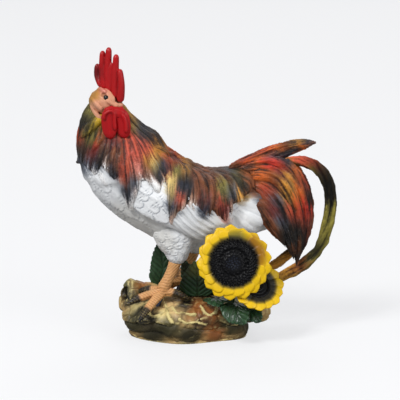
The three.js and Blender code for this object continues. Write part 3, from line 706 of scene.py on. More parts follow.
class HairLines:
    """Lines that run along the feathers through every vertex of a skin."""

    def __init__(self, mesh: Mesh, lie: ndarray, steps: int) -> None:
        """Follows the feathers both ways from each vertex.

        Args:
            mesh: A skin of even squares.
            lie: The way that the feathers lie at each vertex.
            steps: How many squares a line reaches either way.
        """
        self.places, self.normals, edges = read_mesh(mesh)
        self.lie = lie
        self.steps = steps
        spans = self.places[edges[:, 1]] - self.places[edges[:, 0]]
        self.square = np.median(np.linalg.norm(spans, axis=1))
        cells = self.cell(self.places, self.square)
        self.order = np.argsort(cells)
        self.cells = cells[self.order]
        self.lines = [*self.follow(-1)[::-1], self.places, *self.follow(1)]

    @staticmethod
    def cell(spots: ndarray, width: float) -> ndarray:
        """Numbers the cubes of some width in metres that spots lie in."""
        x, y, z = np.floor(spots / width).astype(np.int64).T + (1 << CELL_BITS - 1)
        return (x << 2 * CELL_BITS) | (y << CELL_BITS) | z

    def follow(self, way: float) -> list[ndarray]:
        """Follows the feathers one way over the skin.

        Args:
            way: 1 towards the tips, -1 towards the roots.

        Returns:
            Places after each step.
        """
        spots, near, line = self.places, np.arange(len(self.places)), []
        for _ in range(self.steps):
            spots = spots + way * self.square * self.lie[near]
            cells = self.cell(spots, self.square)
            found = np.searchsorted(self.cells, cells).clip(max=len(cells) - 1)
            near = np.where(self.cells[found] == cells, self.order[found], near)
            off = dots(spots - self.places[near], self.normals[near])
            spots = spots - self.normals[near] * off[:, None]
            line.append(spots)
        return line

    def streaks(self, width: float) -> ndarray:
        """Random streaks along the lines.

        Args:
            width: Width of a streak in millimetres.

        Returns:
            Numbers with a mean of zero and a spread of one.
        """
        chance = np.random.default_rng(len(self.places)).standard_normal(CHANCES)
        streak = sum(chance[self.cell(spots, width * MM) % CHANCES] for spots in self.lines)
        streak = streak - streak.mean()
        return np.clip(streak / streak.std(), -2.2, 2.2)

    def slide(self, shares: ndarray) -> ndarray:
        """Places that the vertices slide to along their lines, by shares from -1 to 1."""
        step = np.rint(np.clip(shares, -1, 1) * self.steps).astype(int) + self.steps
        return np.stack(self.lines)[step, np.arange(len(step))]


@dataclass(frozen=True)
class Combing:
    """Strokes of the modelling tool in millimetres, and of the airbrush, along the feathers, with
    painted shade and highlights along the strokes and painted shade in the engraved lines.
    """

    broad: float
    fine: float
    shade: float
    groove_ink_and_shade: Tone
    smear: float = 0.4
    tile: float = 0.0
    groove_ink_and_shade_strength: float = 0.7
    steps: int = 14
    reach: int = 12
    depth: float = 0.8


class Casting:
    """A piece in the making: closed shells that keep their paint and grain when they are fused."""

    def __init__(self, name: str, painter: Painter, seed: int = 1) -> None:
        """Starts an empty casting.

        Args:
            name: Name of the finished piece.
            painter: What colours it.
            seed: Start of its random draws.
        """
        self.name = name
        self.painter = painter
        self.chance = random.Random(seed)
        self.bm = bmesh.new()
        self.wander = 2.0
        self.marks: dict[BMVert, int] = {}
        self.paint: list[ndarray] = []
        self.flow: list[ndarray] = []
        self.guides: list[Trail] = []
        self.outlines: list[Outline] = []

    def add_node(self, node: str, lie: Vector = Vector(FEATHER_LIE)) -> None:
        """Adds a copy of a CAD node.

        Args:
            node: Its name.
            lie: The direction that its grain runs in.
        """
        known = set(self.bm.verts)
        self.bm.from_mesh(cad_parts[node].data)
        made = [vert for vert in self.bm.verts if vert not in known]
        bmesh.ops.remove_doubles(self.bm, verts=made, dist=WELD)
        self.note(known, lie)

    def add_patch(self, skin: Skin, proud: float, sunk: float, *nodes: str) -> None:
        """Adds the part of a skin that belongs to some castings, cut off square a little beyond.

        Args:
            skin: What is copied.
            proud: Millimetres that the part stands out.
            sunk: Millimetres that the skin round it is drawn in.
            *nodes: The castings' CAD nodes.
        """
        bm = skin.core.copy()
        bm.verts.ensure_lookup_table()
        mine = np.array([owner in nodes for owner in skin.owners])
        height = np.where(mine, proud, -sunk)
        around = [[edge.other_vert(vert).index for edge in vert.link_edges] for vert in bm.verts]
        for _ in range(2):
            height = 0.5 * height + 0.5 * np.array([height[near].mean() for near in around])
        places = np.array([vert.co for vert in bm.verts])[mine]
        for vert, move in zip(bm.verts, height):
            vert.co += vert.normal * move * MM
        for axis in range(3):
            for sign, end in ((-1, places[:, axis].min()), (1, places[:, axis].max())):
                plane = Vector([sign * (i == axis) for i in range(3)])
                geom = [*bm.verts, *bm.edges, *bm.faces]
                at = plane * (sign * end + PATCH_MARGIN)
                bmesh.ops.bisect_plane(bm, geom=geom, plane_co=at, plane_no=plane, clear_outer=True)
                rim = [edge for edge in bm.edges if edge.is_boundary]
                bmesh.ops.holes_fill(bm, edges=rim, sides=0)
        mesh = mesh_of(bm, "patch")
        known = set(self.bm.verts)
        self.bm.from_mesh(mesh)
        bpy.data.meshes.remove(mesh)
        self.note(known, Vector(FEATHER_LIE))

    def note(self, known: set[BMVert], lie: Vector) -> None:
        """Paints and grains the vertices that were just added.

        Args:
            known: The vertices that were there before.
            lie: The direction that their grain runs in.
        """
        made = [vert for vert in self.bm.verts if vert not in known]
        places = np.array([vert.co for vert in made])
        across = lie.cross(Vector((0, 1, 0)))
        flow = np.column_stack([places @ np.array(lie), places @ np.array(across), places[:, 1]])
        self.mark(made, self.painter.paint(places, np.zeros(len(places))), flow)

    def mark(self, verts: Sequence[BMVert], paint: ndarray, flow: ndarray) -> None:
        """Remembers the paint and grain of some vertices.

        Args:
            verts: The vertices.
            paint: sRGB shares, one row a vertex.
            flow: Grain, one row a vertex.
        """
        first = len(self.marks)
        self.marks.update((vert, first + number) for number, vert in enumerate(verts))
        self.paint.append(paint)
        self.flow.append(flow)

    def add_lock(self, trail: Trail, shape: LockShape, painter: Painter | None = None) -> None:
        """Adds a feather lock or another long closed form.

        Args:
            trail: Its middle line.
            shape: Its section.
            painter: What colours it, if not the casting's own painter.
        """
        made = bmesh.ops.create_uvsphere(
            self.bm, u_segments=LOCK_SIDES, v_segments=LOCK_RINGS, radius=1
        )["verts"]
        unit = np.array([vert.co for vert in made])
        share = np.arccos(np.clip(-unit[:, 2], -1, 1)) / math.pi
        if shape.tip is Tip.FINGER:
            share = (1 - np.cos(math.pi * share)) / 2
        turn = np.arctan2(unit[:, 1], unit[:, 0])
        wide = np.cos(turn) * shape.half_width(share, trail.length)
        high = np.sin(turn) * shape.half_thickness(share, trail.length) + shape.rise(share)
        middles, normals, sides = trail.at(share)
        for vert, middle, normal, side, out, up in zip(made, middles, normals, sides, wide, high):
            place, away = Vector(middle + side * out), Vector(normal)
            if trail.skin:
                place, true = trail.skin.nearest(place)
                away = (away + true).normalized()
            vert.co = place + away * up
        wander = np.array([self.chance.gauss(0, self.wander * MM) for _ in range(3)])
        places = 0.5 * (middles + wander) + 0.5 * np.array([vert.co for vert in made])
        number = self.chance.uniform(0, 40)
        flow = np.column_stack([share * trail.length, wide, np.full(len(made), number)])
        self.mark(made, (painter or self.painter).paint(places, share), flow)

    def cast(
        self,
        voxel: float,
        passes: int,
        sculpt: Sculpt | None = None,
        depth: float = 1.2,
        reach: int = 14,
    ) -> Mesh:
        """Fuses the shells and carries their paint and grain over.

        Args:
            voxel: Grain of the fused skin in millimetres.
            passes: How often it is smoothed.
            sculpt: Moves the skin's vertices, given places, normals and grain.
            depth: Millimetres of relief that the wash and its painted shade count as fully hollow.
            reach: How far round a place the wash and its painted shade look for their hollow.

        Returns:
            The finished mesh.
        """
        bmesh.ops.triangulate(self.bm, faces=self.bm.faces)
        self.bm.verts.index_update()
        tree = BVHTree.FromBMesh(self.bm)
        corners = np.array([[vert.index for vert in face.verts] for face in self.bm.faces])
        ground = np.array([vert.co for vert in self.bm.verts])
        order = [self.marks[vert] for vert in self.bm.verts]
        mesh = recast(self.bm, voxel, passes)
        self.bm.free()
        places, normals, _ = read_mesh(mesh)
        hits = [tree.find_nearest(Vector(place)) for place in places]
        tri = corners[[hit[2] for hit in hits]]
        spots = np.array([hit[0] for hit in hits])
        shares = corner_shares(ground[tri[:, 0]], ground[tri[:, 1]], ground[tri[:, 2]], spots)
        paint = np.einsum("ij,ijk->ik", shares, np.concatenate(self.paint)[order][tri])
        flow = np.einsum("ij,ijk->ik", shares, np.concatenate(self.flow)[order][tri])
        if sculpt:
            places = sculpt(places, normals, flow)
            mesh.vertices.foreach_set("co", places.ravel())
            mesh.update()
        return self.seal(mesh, paint, flow, hollows(mesh, reach, depth))

    def seal(
        self, mesh: Mesh, paint: ndarray, flow: ndarray, hollow: ndarray
    ) -> Mesh:
        """Stores what the finish needs on the fused skin.

        Args:
            mesh: The skin.
            paint: sRGB shares, one row a vertex.
            flow: Grain, one row a vertex.
            hollow: How hollow the skin is at each vertex.

        Returns:
            The finished mesh.
        """
        colours = np.hstack([to_linear(paint), np.ones((len(paint), 1))])
        add_attribute(mesh, "paint", "FLOAT_COLOR", colours)
        add_attribute(mesh, "flow", "FLOAT_VECTOR", flow)
        add_attribute(mesh, "hollow", "FLOAT", hollow)
        mesh.name = self.name
        return mesh

    def cast_plumage(self, voxel: float, passes: int, combing: Combing) -> Mesh:
        """Fuses the shells, combs their feathers and airbrushes them, with painted shade and highlights
        along the strokes and painted shade in the engraved lines.

        Args:
            voxel: Grain of the fused skin in millimetres.
            passes: How often it is smoothed.
            combing: Depth of the strokes.

        Returns:
            The finished mesh.
        """
        bmesh.ops.triangulate(self.bm, faces=self.bm.faces)
        mesh = recast(self.bm, voxel, passes)
        self.bm.clear()
        self.bm.from_mesh(mesh)
        keep_largest(self.bm)
        self.bm.to_mesh(mesh)
        self.bm.free()
        places, normals, _ = read_mesh(mesh)
        lie = flow_field(places, normals, self.guides)
        lines = HairLines(mesh, lie, combing.steps)
        broad, fine = lines.streaks(BROAD_STROKE), lines.streaks(FINE_STROKE)
        tile, groove_ink_and_shade = engrave(places, self.outlines)
        hair = 0.5 * fine + 0.5 * broad
        along = np.zeros(len(places))
        brushed = [lines.slide(combing.smear * hair + step) for step in SOFTENING]
        paint = sum(self.painter.paint(spots, along) for spots in brushed) / len(SOFTENING)
        # Painted shade where the hair streaks dip and painted highlights where they rise.
        shade = np.where(hair < 0, np.exp(1.7 * combing.shade * hair), 1 + 0.6 * combing.shade * hair)
        paint *= shade[:, None]
        # Thin dark paint in the engraved lines, which also paints the shade in them.
        paint += (combing.groove_ink_and_shade.srgb - paint) * (combing.groove_ink_and_shade_strength * groove_ink_and_shade)[:, None]
        paint = np.clip(paint, 0, 1)
        rise = combing.broad * broad + combing.fine * fine + combing.tile * tile
        places = places + normals * (rise * MM)[:, None]
        mesh.vertices.foreach_set("co", places.ravel())
        mesh.update()
        flow = np.column_stack([places @ np.array(FEATHER_LIE), 0.012 * fine, 0.01 * broad])
        return self.seal(mesh, paint, flow, hollows(mesh, combing.reach, combing.depth))


def corner_shares(a: ndarray, b: ndarray, c: ndarray, spots: ndarray) -> ndarray:
    """How much each corner of a triangle weighs at a spot on it.

    Args:
        a: First corners.
        b: Second corners.
        c: Third corners.
        spots: One spot a triangle.

    Returns:
        Three shares a row, which add up to one.
    """
    ab, ac, at = b - a, c - a, spots - a
    bb, bc, cc = (dots(*pair) for pair in ((ab, ab), (ab, ac), (ac, ac)))
    tb, tc = dots(at, ab), dots(at, ac)
    area = np.maximum(bb * cc - bc * bc, 1e-18)
    second = (cc * tb - bc * tc) / area
    third = (bb * tc - bc * tb) / area
    shares = np.clip(np.column_stack([1 - second - third, second, third]), 0, 1)
    return shares / shares.sum(1, keepdims=True)


class NodeSheet:
    """Short hand for wiring shader nodes."""

    def __init__(self, tree: NodeTree) -> None:
        """Holds the node tree that is wired."""
        self.tree = tree

    def add(self, kind: str, wires: dict, **settings: object) -> Node:
        """Adds one node.

        Args:
            kind: Blender's node type.
            wires: Input name or number to a value or an output socket.
            **settings: Properties of the node.

        Returns:
            The node.
        """
        node = self.tree.nodes.new(kind)
        for name, value in settings.items():
            setattr(node, name, value)
        self.plug(node, wires)
        return node

    def plug(self, node: Node, wires: dict) -> None:
        """Sets or links inputs of a node.

        Args:
            node: The node.
            wires: Input name or number to a value or an output socket.
        """
        for name, value in wires.items():
            if isinstance(value, NodeSocket):
                self.tree.links.new(value, node.inputs[name])
            else:
                node.inputs[name].default_value = value

    def noise(self, place: object, scale: float, detail: float) -> NodeSocket:
        """Cloudy values between 0 and 1 at a place."""
        wires = {"Vector": place, "Scale": scale, "Detail": detail}
        return self.add("ShaderNodeTexNoise", wires).outputs[0]

    def scale(
        self, value: NodeSocket, low: float, high: float, to: tuple[float, float]
    ) -> NodeSocket:
        """Maps values from low to high onto another range, without running over."""
        wires = {"Value": value, "From Min": low, "From Max": high, "To Min": to[0], "To Max": to[1]}
        return self.add("ShaderNodeMapRange", wires).outputs["Result"]

    def blend(self, share: object, a: object, b: object, mode: str = "MIX") -> NodeSocket:
        """Mixes a share of the second colour into the first, in one of Blender's modes."""
        wires = {0: share, 6: a, 7: b}
        return self.add("ShaderNodeMix", wires, data_type="RGBA", blend_type=mode).outputs[2]

    def sum(self, a: object, b: object, operation: str = "ADD") -> NodeSocket:
        """Works out one of Blender's math operations on two numbers."""
        return self.add("ShaderNodeMath", {0: a, 1: b}, operation=operation).outputs[0]


def start_group(
    name: str, inputs: dict[str, str], outputs: dict[str, str]
) -> tuple[NodeSheet, dict, Node]:
    """Starts a shader node group.

    Args:
        name: The group's name.
        inputs: Socket names to socket types.
        outputs: Socket names to socket types.

    Returns:
        Its sheet, its input sockets by name and its output node.
    """
    tree = bpy.data.node_groups.new(name, "ShaderNodeTree")
    for side, sockets in (("INPUT", inputs), ("OUTPUT", outputs)):
        for socket, kind in sockets.items():
            tree.interface.new_socket(socket, in_out=side, socket_type=kind)
    sheet = NodeSheet(tree)
    entry = sheet.add("NodeGroupInput", {})
    return sheet, dict(entry.outputs.items()), sheet.add("NodeGroupOutput", {})


FLOAT, COLOUR, VECTOR = "NodeSocketFloat", "NodeSocketColor", "NodeSocketVector"


def make_shading_streaks_and_barbs() -> NodeTree:
    """Makes the group that draws fine streaks of painted shade and highlight, and barbs, along the
    feathers.

    Returns:
        The group, with masks for broad streaks of painted shade and highlight and for fine barbs.
    """
    sheet, given, out = start_group(
        "shading_streaks_and_barbs",
        {"Flow": VECTOR, "Along": FLOAT, "Across": FLOAT},
        {"Stroke": FLOAT, "Barb": FLOAT},
    )
    parts = sheet.add("ShaderNodeSeparateXYZ", {0: given["Flow"]}).outputs
    lock = sheet.sum(parts[2], 7.0, "MULTIPLY")
    for name, times, detail in (("Stroke", 1.0, 3.0), ("Barb", 2.6, 1.0)):
        along = sheet.sum(parts[0], given["Along"], "MULTIPLY")
        across = sheet.sum(parts[1], sheet.sum(given["Across"], times, "MULTIPLY"), "MULTIPLY")
        place = sheet.add("ShaderNodeCombineXYZ", {0: along, 1: across, 2: lock})
        grain = sheet.noise(place.outputs[0], 1.0, detail)
        sheet.plug(out, {name: sheet.scale(grain, 0.32, 0.68, (0, 1))})
    return sheet.tree


def make_wash_and_painted_light() -> NodeTree:
    """Makes the group that floods hollows with thin dark paint, which also paints the shade in them,
    and dry-brushes the ridges with pale paint, which also paints highlights on them.

    Returns:
        The group, with the washed colour, its painted shade and its painted highlights.
    """
    sheet, given, out = start_group(
        "wash_and_painted_light",
        {
            "Paint": COLOUR, "Hollow": FLOAT, "Wash": COLOUR, "Flood": FLOAT,
            "Dry": COLOUR, "Brush": FLOAT, "Mottle": FLOAT,
        },
        {"Colour": COLOUR},
    )
    place = sheet.add("ShaderNodeTexCoord", {}).outputs["Object"]
    wires = {"Vector": place, "Scale": 95.0, "Detail": 5.0, "Roughness": 0.65}
    patch = sheet.add("ShaderNodeTexNoise", wires).outputs[0]
    cloud = sheet.noise(place, 26.0, 3.0)
    # Thin dark wash flooding the hollows, which also paints the shade in them.
    flood = sheet.sum(sheet.scale(given["Hollow"], 0.53, 0.9, (0, 1)), given["Flood"], "MULTIPLY")
    flood = sheet.sum(flood, sheet.scale(cloud, 0.3, 0.7, (0.55, 1.0)), "MULTIPLY")
    # Pale dry-brushing on the ridges, which also paints highlights on them.
    brush = sheet.sum(sheet.scale(given["Hollow"], 0.46, 0.16, (0, 1)), given["Brush"], "MULTIPLY")
    brush = sheet.sum(brush, sheet.scale(patch, 0.42, 0.6, (0, 1)), "MULTIPLY")
    stain = sheet.noise(place, 60.0, 4.0)
    mottle = sheet.sum(sheet.scale(stain, 0.45, 0.62, (0, 1)), given["Mottle"], "MULTIPLY")
    mottled = sheet.blend(mottle, given["Paint"], given["Wash"])
    washed_and_shaded = sheet.blend(flood, mottled, given["Wash"])
    dry_brushed_and_highlighted = sheet.blend(brush, washed_and_shaded, given["Dry"])
    tint = sheet.scale(cloud, 0.3, 0.7, (0.9, 1.06))
    grey = sheet.add("ShaderNodeCombineColor", {0: tint, 1: tint, 2: tint}).outputs[0]
    sheet.plug(out, {"Colour": sheet.blend(1.0, dry_brushed_and_highlighted, grey, "MULTIPLY")})
    return sheet.tree


def make_varnish_grain() -> NodeTree:
    """Makes the group for the small unevenness of painted and varnished resin.

    Returns:
        The group, with a height and a gloss that vary over the surface.
    """
    sheet, given, out = start_group(
        "varnish_grain", {"Gloss": FLOAT, "Hollow": FLOAT}, {"Height": FLOAT, "Roughness": FLOAT}
    )
    place = sheet.add("ShaderNodeTexCoord", {}).outputs["Object"]
    grit = sheet.noise(place, 420.0, 3.0)
    lumps = sheet.noise(place, 120.0, 2.0)
    height = sheet.sum(sheet.sum(grit, 0.35, "MULTIPLY"), lumps)
    spread = sheet.scale(lumps, 0.3, 0.7, (-0.07, 0.09))
    dull = sheet.scale(given["Hollow"], 0.5, 0.9, (0.0, 0.16))
    rough = sheet.sum(sheet.sum(given["Gloss"], spread), dull)
    sheet.plug(out, {"Height": height, "Roughness": rough})
    return sheet.tree


class SharedEffects:
    """The node groups that every painted finish uses."""

    def __init__(self) -> None:
        """Makes each group once."""
        self.streaks = make_shading_streaks_and_barbs()
        self.wash = make_wash_and_painted_light()
        self.grain = make_varnish_grain()


EFFECTS = SharedEffects()


def start_material(name: str) -> tuple[Material, NodeSheet, Node]:
    """Starts a material.

    Args:
        name: Its name.

    Returns:
        The material, its sheet and its surface shader.
    """
    material = bpy.data.materials.new(name)
    material.use_nodes = True
    return material, NodeSheet(material.node_tree), material.node_tree.nodes["Principled BSDF"]


@dataclass(frozen=True)
class PaintedResin:
    """Cast resin, airbrushed, washed and varnished, with painted shade in its hollows and along streaks
    and painted highlights on its ridges and streaks.
    """

    name: str
    wash: Tone
    dry: Tone
    flood: float = 0.8
    brush: float = 0.05
    roughness: float = 0.42
    varnish: float = 0.06
    stroke: float = 0.12
    along: float = 60.0
    across: float = 200.0
    barb_height: float = 0.3
    grain_height: float = 0.2
    mottle: float = 0.0
    gloss: float = 0.3

    def material(self) -> Material:
        """Wires the finish.

        Returns:
            The material, made once for each finish.
        """
        if self.name in bpy.data.materials:
            return bpy.data.materials[self.name]
        material, sheet, shader = start_material(self.name)
        paint = sheet.add("ShaderNodeAttribute", {}, attribute_name="paint").outputs["Color"]
        hollow = sheet.add("ShaderNodeAttribute", {}, attribute_name="hollow").outputs["Fac"]
        flow = sheet.add("ShaderNodeAttribute", {}, attribute_name="flow").outputs["Vector"]
        wires = {"Flow": flow, "Along": self.along, "Across": self.across}
        streaks = sheet.add("ShaderNodeGroup", wires, node_tree=EFFECTS.streaks).outputs
        # Darker and lighter copies of the paint, mixed in along the streaks: painted shade and painted
        # highlights.
        shaded_paint = sheet.blend(1.0, paint, (0.42, 0.4, 0.4, 1), "MULTIPLY")
        highlighted_paint = sheet.blend(1.0, paint, (1.35, 1.3, 1.2, 1), "MULTIPLY")
        stroke = sheet.scale(streaks["Stroke"], 0.0, 0.5, (self.stroke, 0.0))
        streak_highlight = sheet.scale(streaks["Stroke"], 0.6, 1.0, (0.0, self.stroke))
        painted = sheet.blend(streak_highlight, sheet.blend(stroke, paint, shaded_paint), highlighted_paint)
        wires = {
            "Paint": painted, "Hollow": hollow, "Wash": self.wash.rgba, "Dry": self.dry.rgba,
            "Flood": self.flood, "Brush": self.brush, "Mottle": self.mottle,
        }
        # Wash with painted shade in the hollows, dry-brushing with painted highlights on the ridges.
        wash = sheet.add("ShaderNodeGroup", wires, node_tree=EFFECTS.wash).outputs
        wires = {"Hollow": hollow, "Gloss": self.roughness}
        grain = sheet.add("ShaderNodeGroup", wires, node_tree=EFFECTS.grain).outputs
        barbs = sheet.sum(streaks["Barb"], self.barb_height, "MULTIPLY")
        height = sheet.sum(barbs, sheet.sum(grain["Height"], self.grain_height, "MULTIPLY"))
        bump = sheet.add("ShaderNodeBump", {"Strength": 0.5, "Distance": 0.0009, "Height": height})
        sheet.plug(shader, {
            "Base Color": wash["Colour"], "Roughness": grain["Roughness"], "Normal": bump.outputs[0],
            "Specular IOR Level": self.gloss, "Coat Weight": self.varnish, "Coat Roughness": 0.22,
        })
        return material


@dataclass(frozen=True)
class PlainFinish:
    """One even material of a piece that isn't painted by hand."""

    name: str
    tone: Tone
    roughness: float
    metallic: float = 0.0
    varnish: float = 0.0
    grit: float = 300.0

    def material(self) -> Material:
        """Wires the finish.

        Returns:
            The material, made once for each finish.
        """
        if self.name in bpy.data.materials:
            return bpy.data.materials[self.name]
        material, sheet, shader = start_material(self.name)
        place = sheet.add("ShaderNodeTexCoord", {}).outputs["Object"]
        grit = sheet.noise(place, self.grit, 4.0)
        rough = sheet.scale(grit, 0.3, 0.7, (0.8 * self.roughness, 1.2 * self.roughness))
        bump = sheet.add("ShaderNodeBump", {"Strength": 0.15, "Distance": 0.0005, "Height": grit})
        sheet.plug(shader, {
            "Base Color": self.tone.rgba, "Roughness": rough, "Normal": bump.outputs[0],
            "Metallic": self.metallic, "Coat Weight": self.varnish,
        })
        return material


WHITE_FEATHERS = PaintedResin(
    "white_feathers", Tone.GREY_WASH_AND_SHADE, Tone.WHITE, flood=0.35, brush=0.3, varnish=0.05, stroke=0.03,
    along=30, across=300, barb_height=0.4,
)
HACKLE_FEATHERS = PaintedResin(
    "hackle_feathers", Tone.BLACK, Tone.STRAW, flood=0.75, brush=0.06, roughness=0.36, varnish=0.08,
    along=10, across=300, barb_height=0.5,
)
TAIL_FEATHERS = PaintedResin(
    "tail_feathers", Tone.BLACK, Tone.OCHRE, roughness=0.34, varnish=0.1, along=10, across=300,
    barb_height=0.5,
)
SICKLE_FEATHERS = PaintedResin(
    "sickle_feathers", Tone.BLACK, Tone.OCHRE, flood=0.5, brush=0.03, roughness=0.34, varnish=0.04,
    stroke=0.1, along=10, barb_height=0.5, gloss=0.14,
)
RED_COMB = PaintedResin(
    "red_comb", Tone.DEEP_RED, Tone.PINK, roughness=0.4, along=40, grain_height=0.4
)
FACE_SKIN = PaintedResin(
    "face_skin", Tone.LEG_BROWN, Tone.PEACH, flood=0.9, brush=0.3, varnish=0.1, stroke=0.1, along=80,
    barb_height=0.2, grain_height=0.9,
)
LEG_SKIN = PaintedResin(
    "leg_skin", Tone.LEG_BROWN, Tone.STRAW, flood=0.85, brush=0.3, varnish=0.1, stroke=0.15,
    barb_height=0.2, grain_height=0.6,
)
PETAL_PAINT = PaintedResin(
    "petal_paint", Tone.PETAL_BROWN, Tone.YELLOW, flood=0.5, brush=0.06, roughness=0.38, stroke=0.08,
    across=420,
)
SEED_PAINT = PaintedResin(
    "seed_paint", Tone.BLACK, Tone.SEED_BLUE, brush=0.02, roughness=0.26, stroke=0.1, along=80,
    barb_height=0.2, grain_height=0.4, gloss=0.14,
)
LEAF_PAINT = PaintedResin(
    "leaf_paint", Tone.LEAF_DARK, Tone.LEAF_LIGHT, brush=0.35, roughness=0.32, varnish=0.15, stroke=0.3,
    grain_height=0.5, mottle=0.4,
)
BARK_PAINT = PaintedResin(
    "bark_paint", Tone.BARK_DARK, Tone.BARK_CREAM, flood=0.45, brush=0.9, roughness=0.46, across=160,
    grain_height=1.0, mottle=0.05,
)
EYE_GLASS = PlainFinish("eye_gloss", Tone.BLACK, roughness=0.3, varnish=0.1)
ROD_STEEL = PlainFinish("rod_steel", Tone.SEED_BLUE, roughness=0.35, metallic=1.0)
BASE_BOARD = PlainFinish("base_board", Tone.DARK_BROWN, roughness=0.8, grit=900)


def show(
    mesh: Mesh, name: str, finish: PaintedResin | PlainFinish, slot: str, *nodes: str
) -> Object:
    """Puts a finished piece in the scene in place of its CAD nodes.

    Args:
        mesh: The piece's mesh.
        name: The piece's name.
        finish: Its finish.
        slot: Not used.
        *nodes: The CAD nodes that it stands for.

    Returns:
        The piece.
    """
    obj = into_scene(f"{name}_cast", mesh)
    mesh.materials.clear()
    mesh.materials.append(finish.material())
    mesh.polygons.foreach_set("use_smooth", [True] * len(mesh.polygons))
    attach(obj, ROOT)
    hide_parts(*nodes)
    LOG.info("%s: %d faces", name, len(mesh.polygons))
    return obj


def dress_node(node: str, finish: PlainFinish) -> None:
    """Finishes a CAD node that is shown as it is.

    Args:
        node: Its name.
        finish: Its finish.
    """
    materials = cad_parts[node].data.materials
    materials.clear()
    materials.append(finish.material())


def node_places(node: str) -> ndarray:
    """Vertex places of a CAD node, one a row."""
    return np.array([vert.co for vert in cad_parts[node].data.vertices])


def flat_axes(node: str) -> tuple[ndarray, ndarray]:
    """Middle and main directions of a CAD node.

    Args:
        node: Its name.

    Returns:
        The middle, and three directions from its longest to its shortest.
    """
    places = node_places(node)
    _, _, axes = np.linalg.svd(places - places.mean(0), full_matrices=False)
    return (places.min(0) + places.max(0)) / 2, axes


def even_out(rows: ndarray) -> None:
    """Averages each row but the first and last with its neighbours, in place."""
    rows[1:-1] = (rows[:-2] + 2 * rows[1:-1] + rows[2:]) / 4


@dataclass(frozen=True)
class Blade:
    """Middle line, crosswise directions and half widths of a thin casting, read from its CAD node."""

    middles: ndarray
    across: ndarray
    halves: ndarray

    @classmethod
    def measure(cls, node: str, root: Vector, stations: int = 11) -> "Blade":
        """Reads a blade.

        Args:
            node: The CAD node's name.
            root: A place near the end that it grows from.
            stations: How many places along it are read.

        Returns:
            The blade.
        """
        bm = bmesh.new()
        bm.from_mesh(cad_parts[node].data)
        bmesh.ops.remove_doubles(bm, verts=bm.verts, dist=WELD)
        mesh = recast(bm, 1.8, 1)
        bm.free()
        places, _, edges = read_mesh(mesh)
        bpy.data.meshes.remove(mesh)
        start = int(np.argmin(np.linalg.norm(places - np.array(root), axis=1)))
        gone = walk(places, edges, start)
        reached = np.isfinite(gone)
        share = np.where(reached, gone, 0) / gone[reached].max()
        bins = np.clip((share * stations).astype(int), 0, stations - 1)
        middles = np.array([places[bins == i].mean(0) for i in range(stations)])
        middles = np.vstack([places[start], middles, places[int(np.argmax(share))]])
        even_out(middles)
        ahead = np.gradient(middles, axis=0)
        ahead /= np.linalg.norm(ahead, axis=1, keepdims=True)
        across, halves = [], []
        for i in range(stations):
            offset = places[bins == i] - middles[i + 1]
            offset -= np.outer(offset @ ahead[i + 1], ahead[i + 1])
            _, _, axes = np.linalg.svd(offset, full_matrices=False)
            axis = axes[0] if not across or axes[0] @ across[-1] >= 0 else -axes[0]
            across.append(axis)
            halves.append(np.abs(offset @ axis).max())
        across = np.array([across[0], *across, across[-1]])
        even_out(across)
        halves = np.array([0.5 * halves[0], *halves, 0.3 * halves[-1]])
        even_out(halves)
        return cls(middles, across, halves)

    def trail(self, offset: float, start: float, end: float, lift: float = 0.0) -> Trail:
        """A line along the blade.

        Args:
            offset: Share of the half width to one side.
            start: Share of the length where it starts.
            end: Share where it ends.
            lift: Millimetres out of the blade's face.

        Returns:
            The trail.
        """
        steps = np.linspace(start, end, LOCK_RINGS + 1) * (len(self.middles) - 1)
        first = np.clip(steps.astype(int), 0, len(self.middles) - 2)
        share = (steps - first)[:, None]
        rows = (self.middles, self.across)
        middle, across = (row[first] * (1 - share) + row[first + 1] * share for row in rows)
        half = self.halves[first] * (1 - share[:, 0]) + self.halves[first + 1] * share[:, 0]
        out = np.cross(across, np.gradient(middle, axis=0))
        out /= np.linalg.norm(out, axis=1, keepdims=True)
        places = middle + across * (half * offset)[:, None] + out * lift * MM
        return Trail([Vector(p) for p in places], [Vector(n) for n in out])


SKIN_NODES = (
    "body_shell", "neck_hackle", "saddle_cape", "wing_left", "wing_right",
    "vent_fluff", "thigh_left", "thigh_right",
)

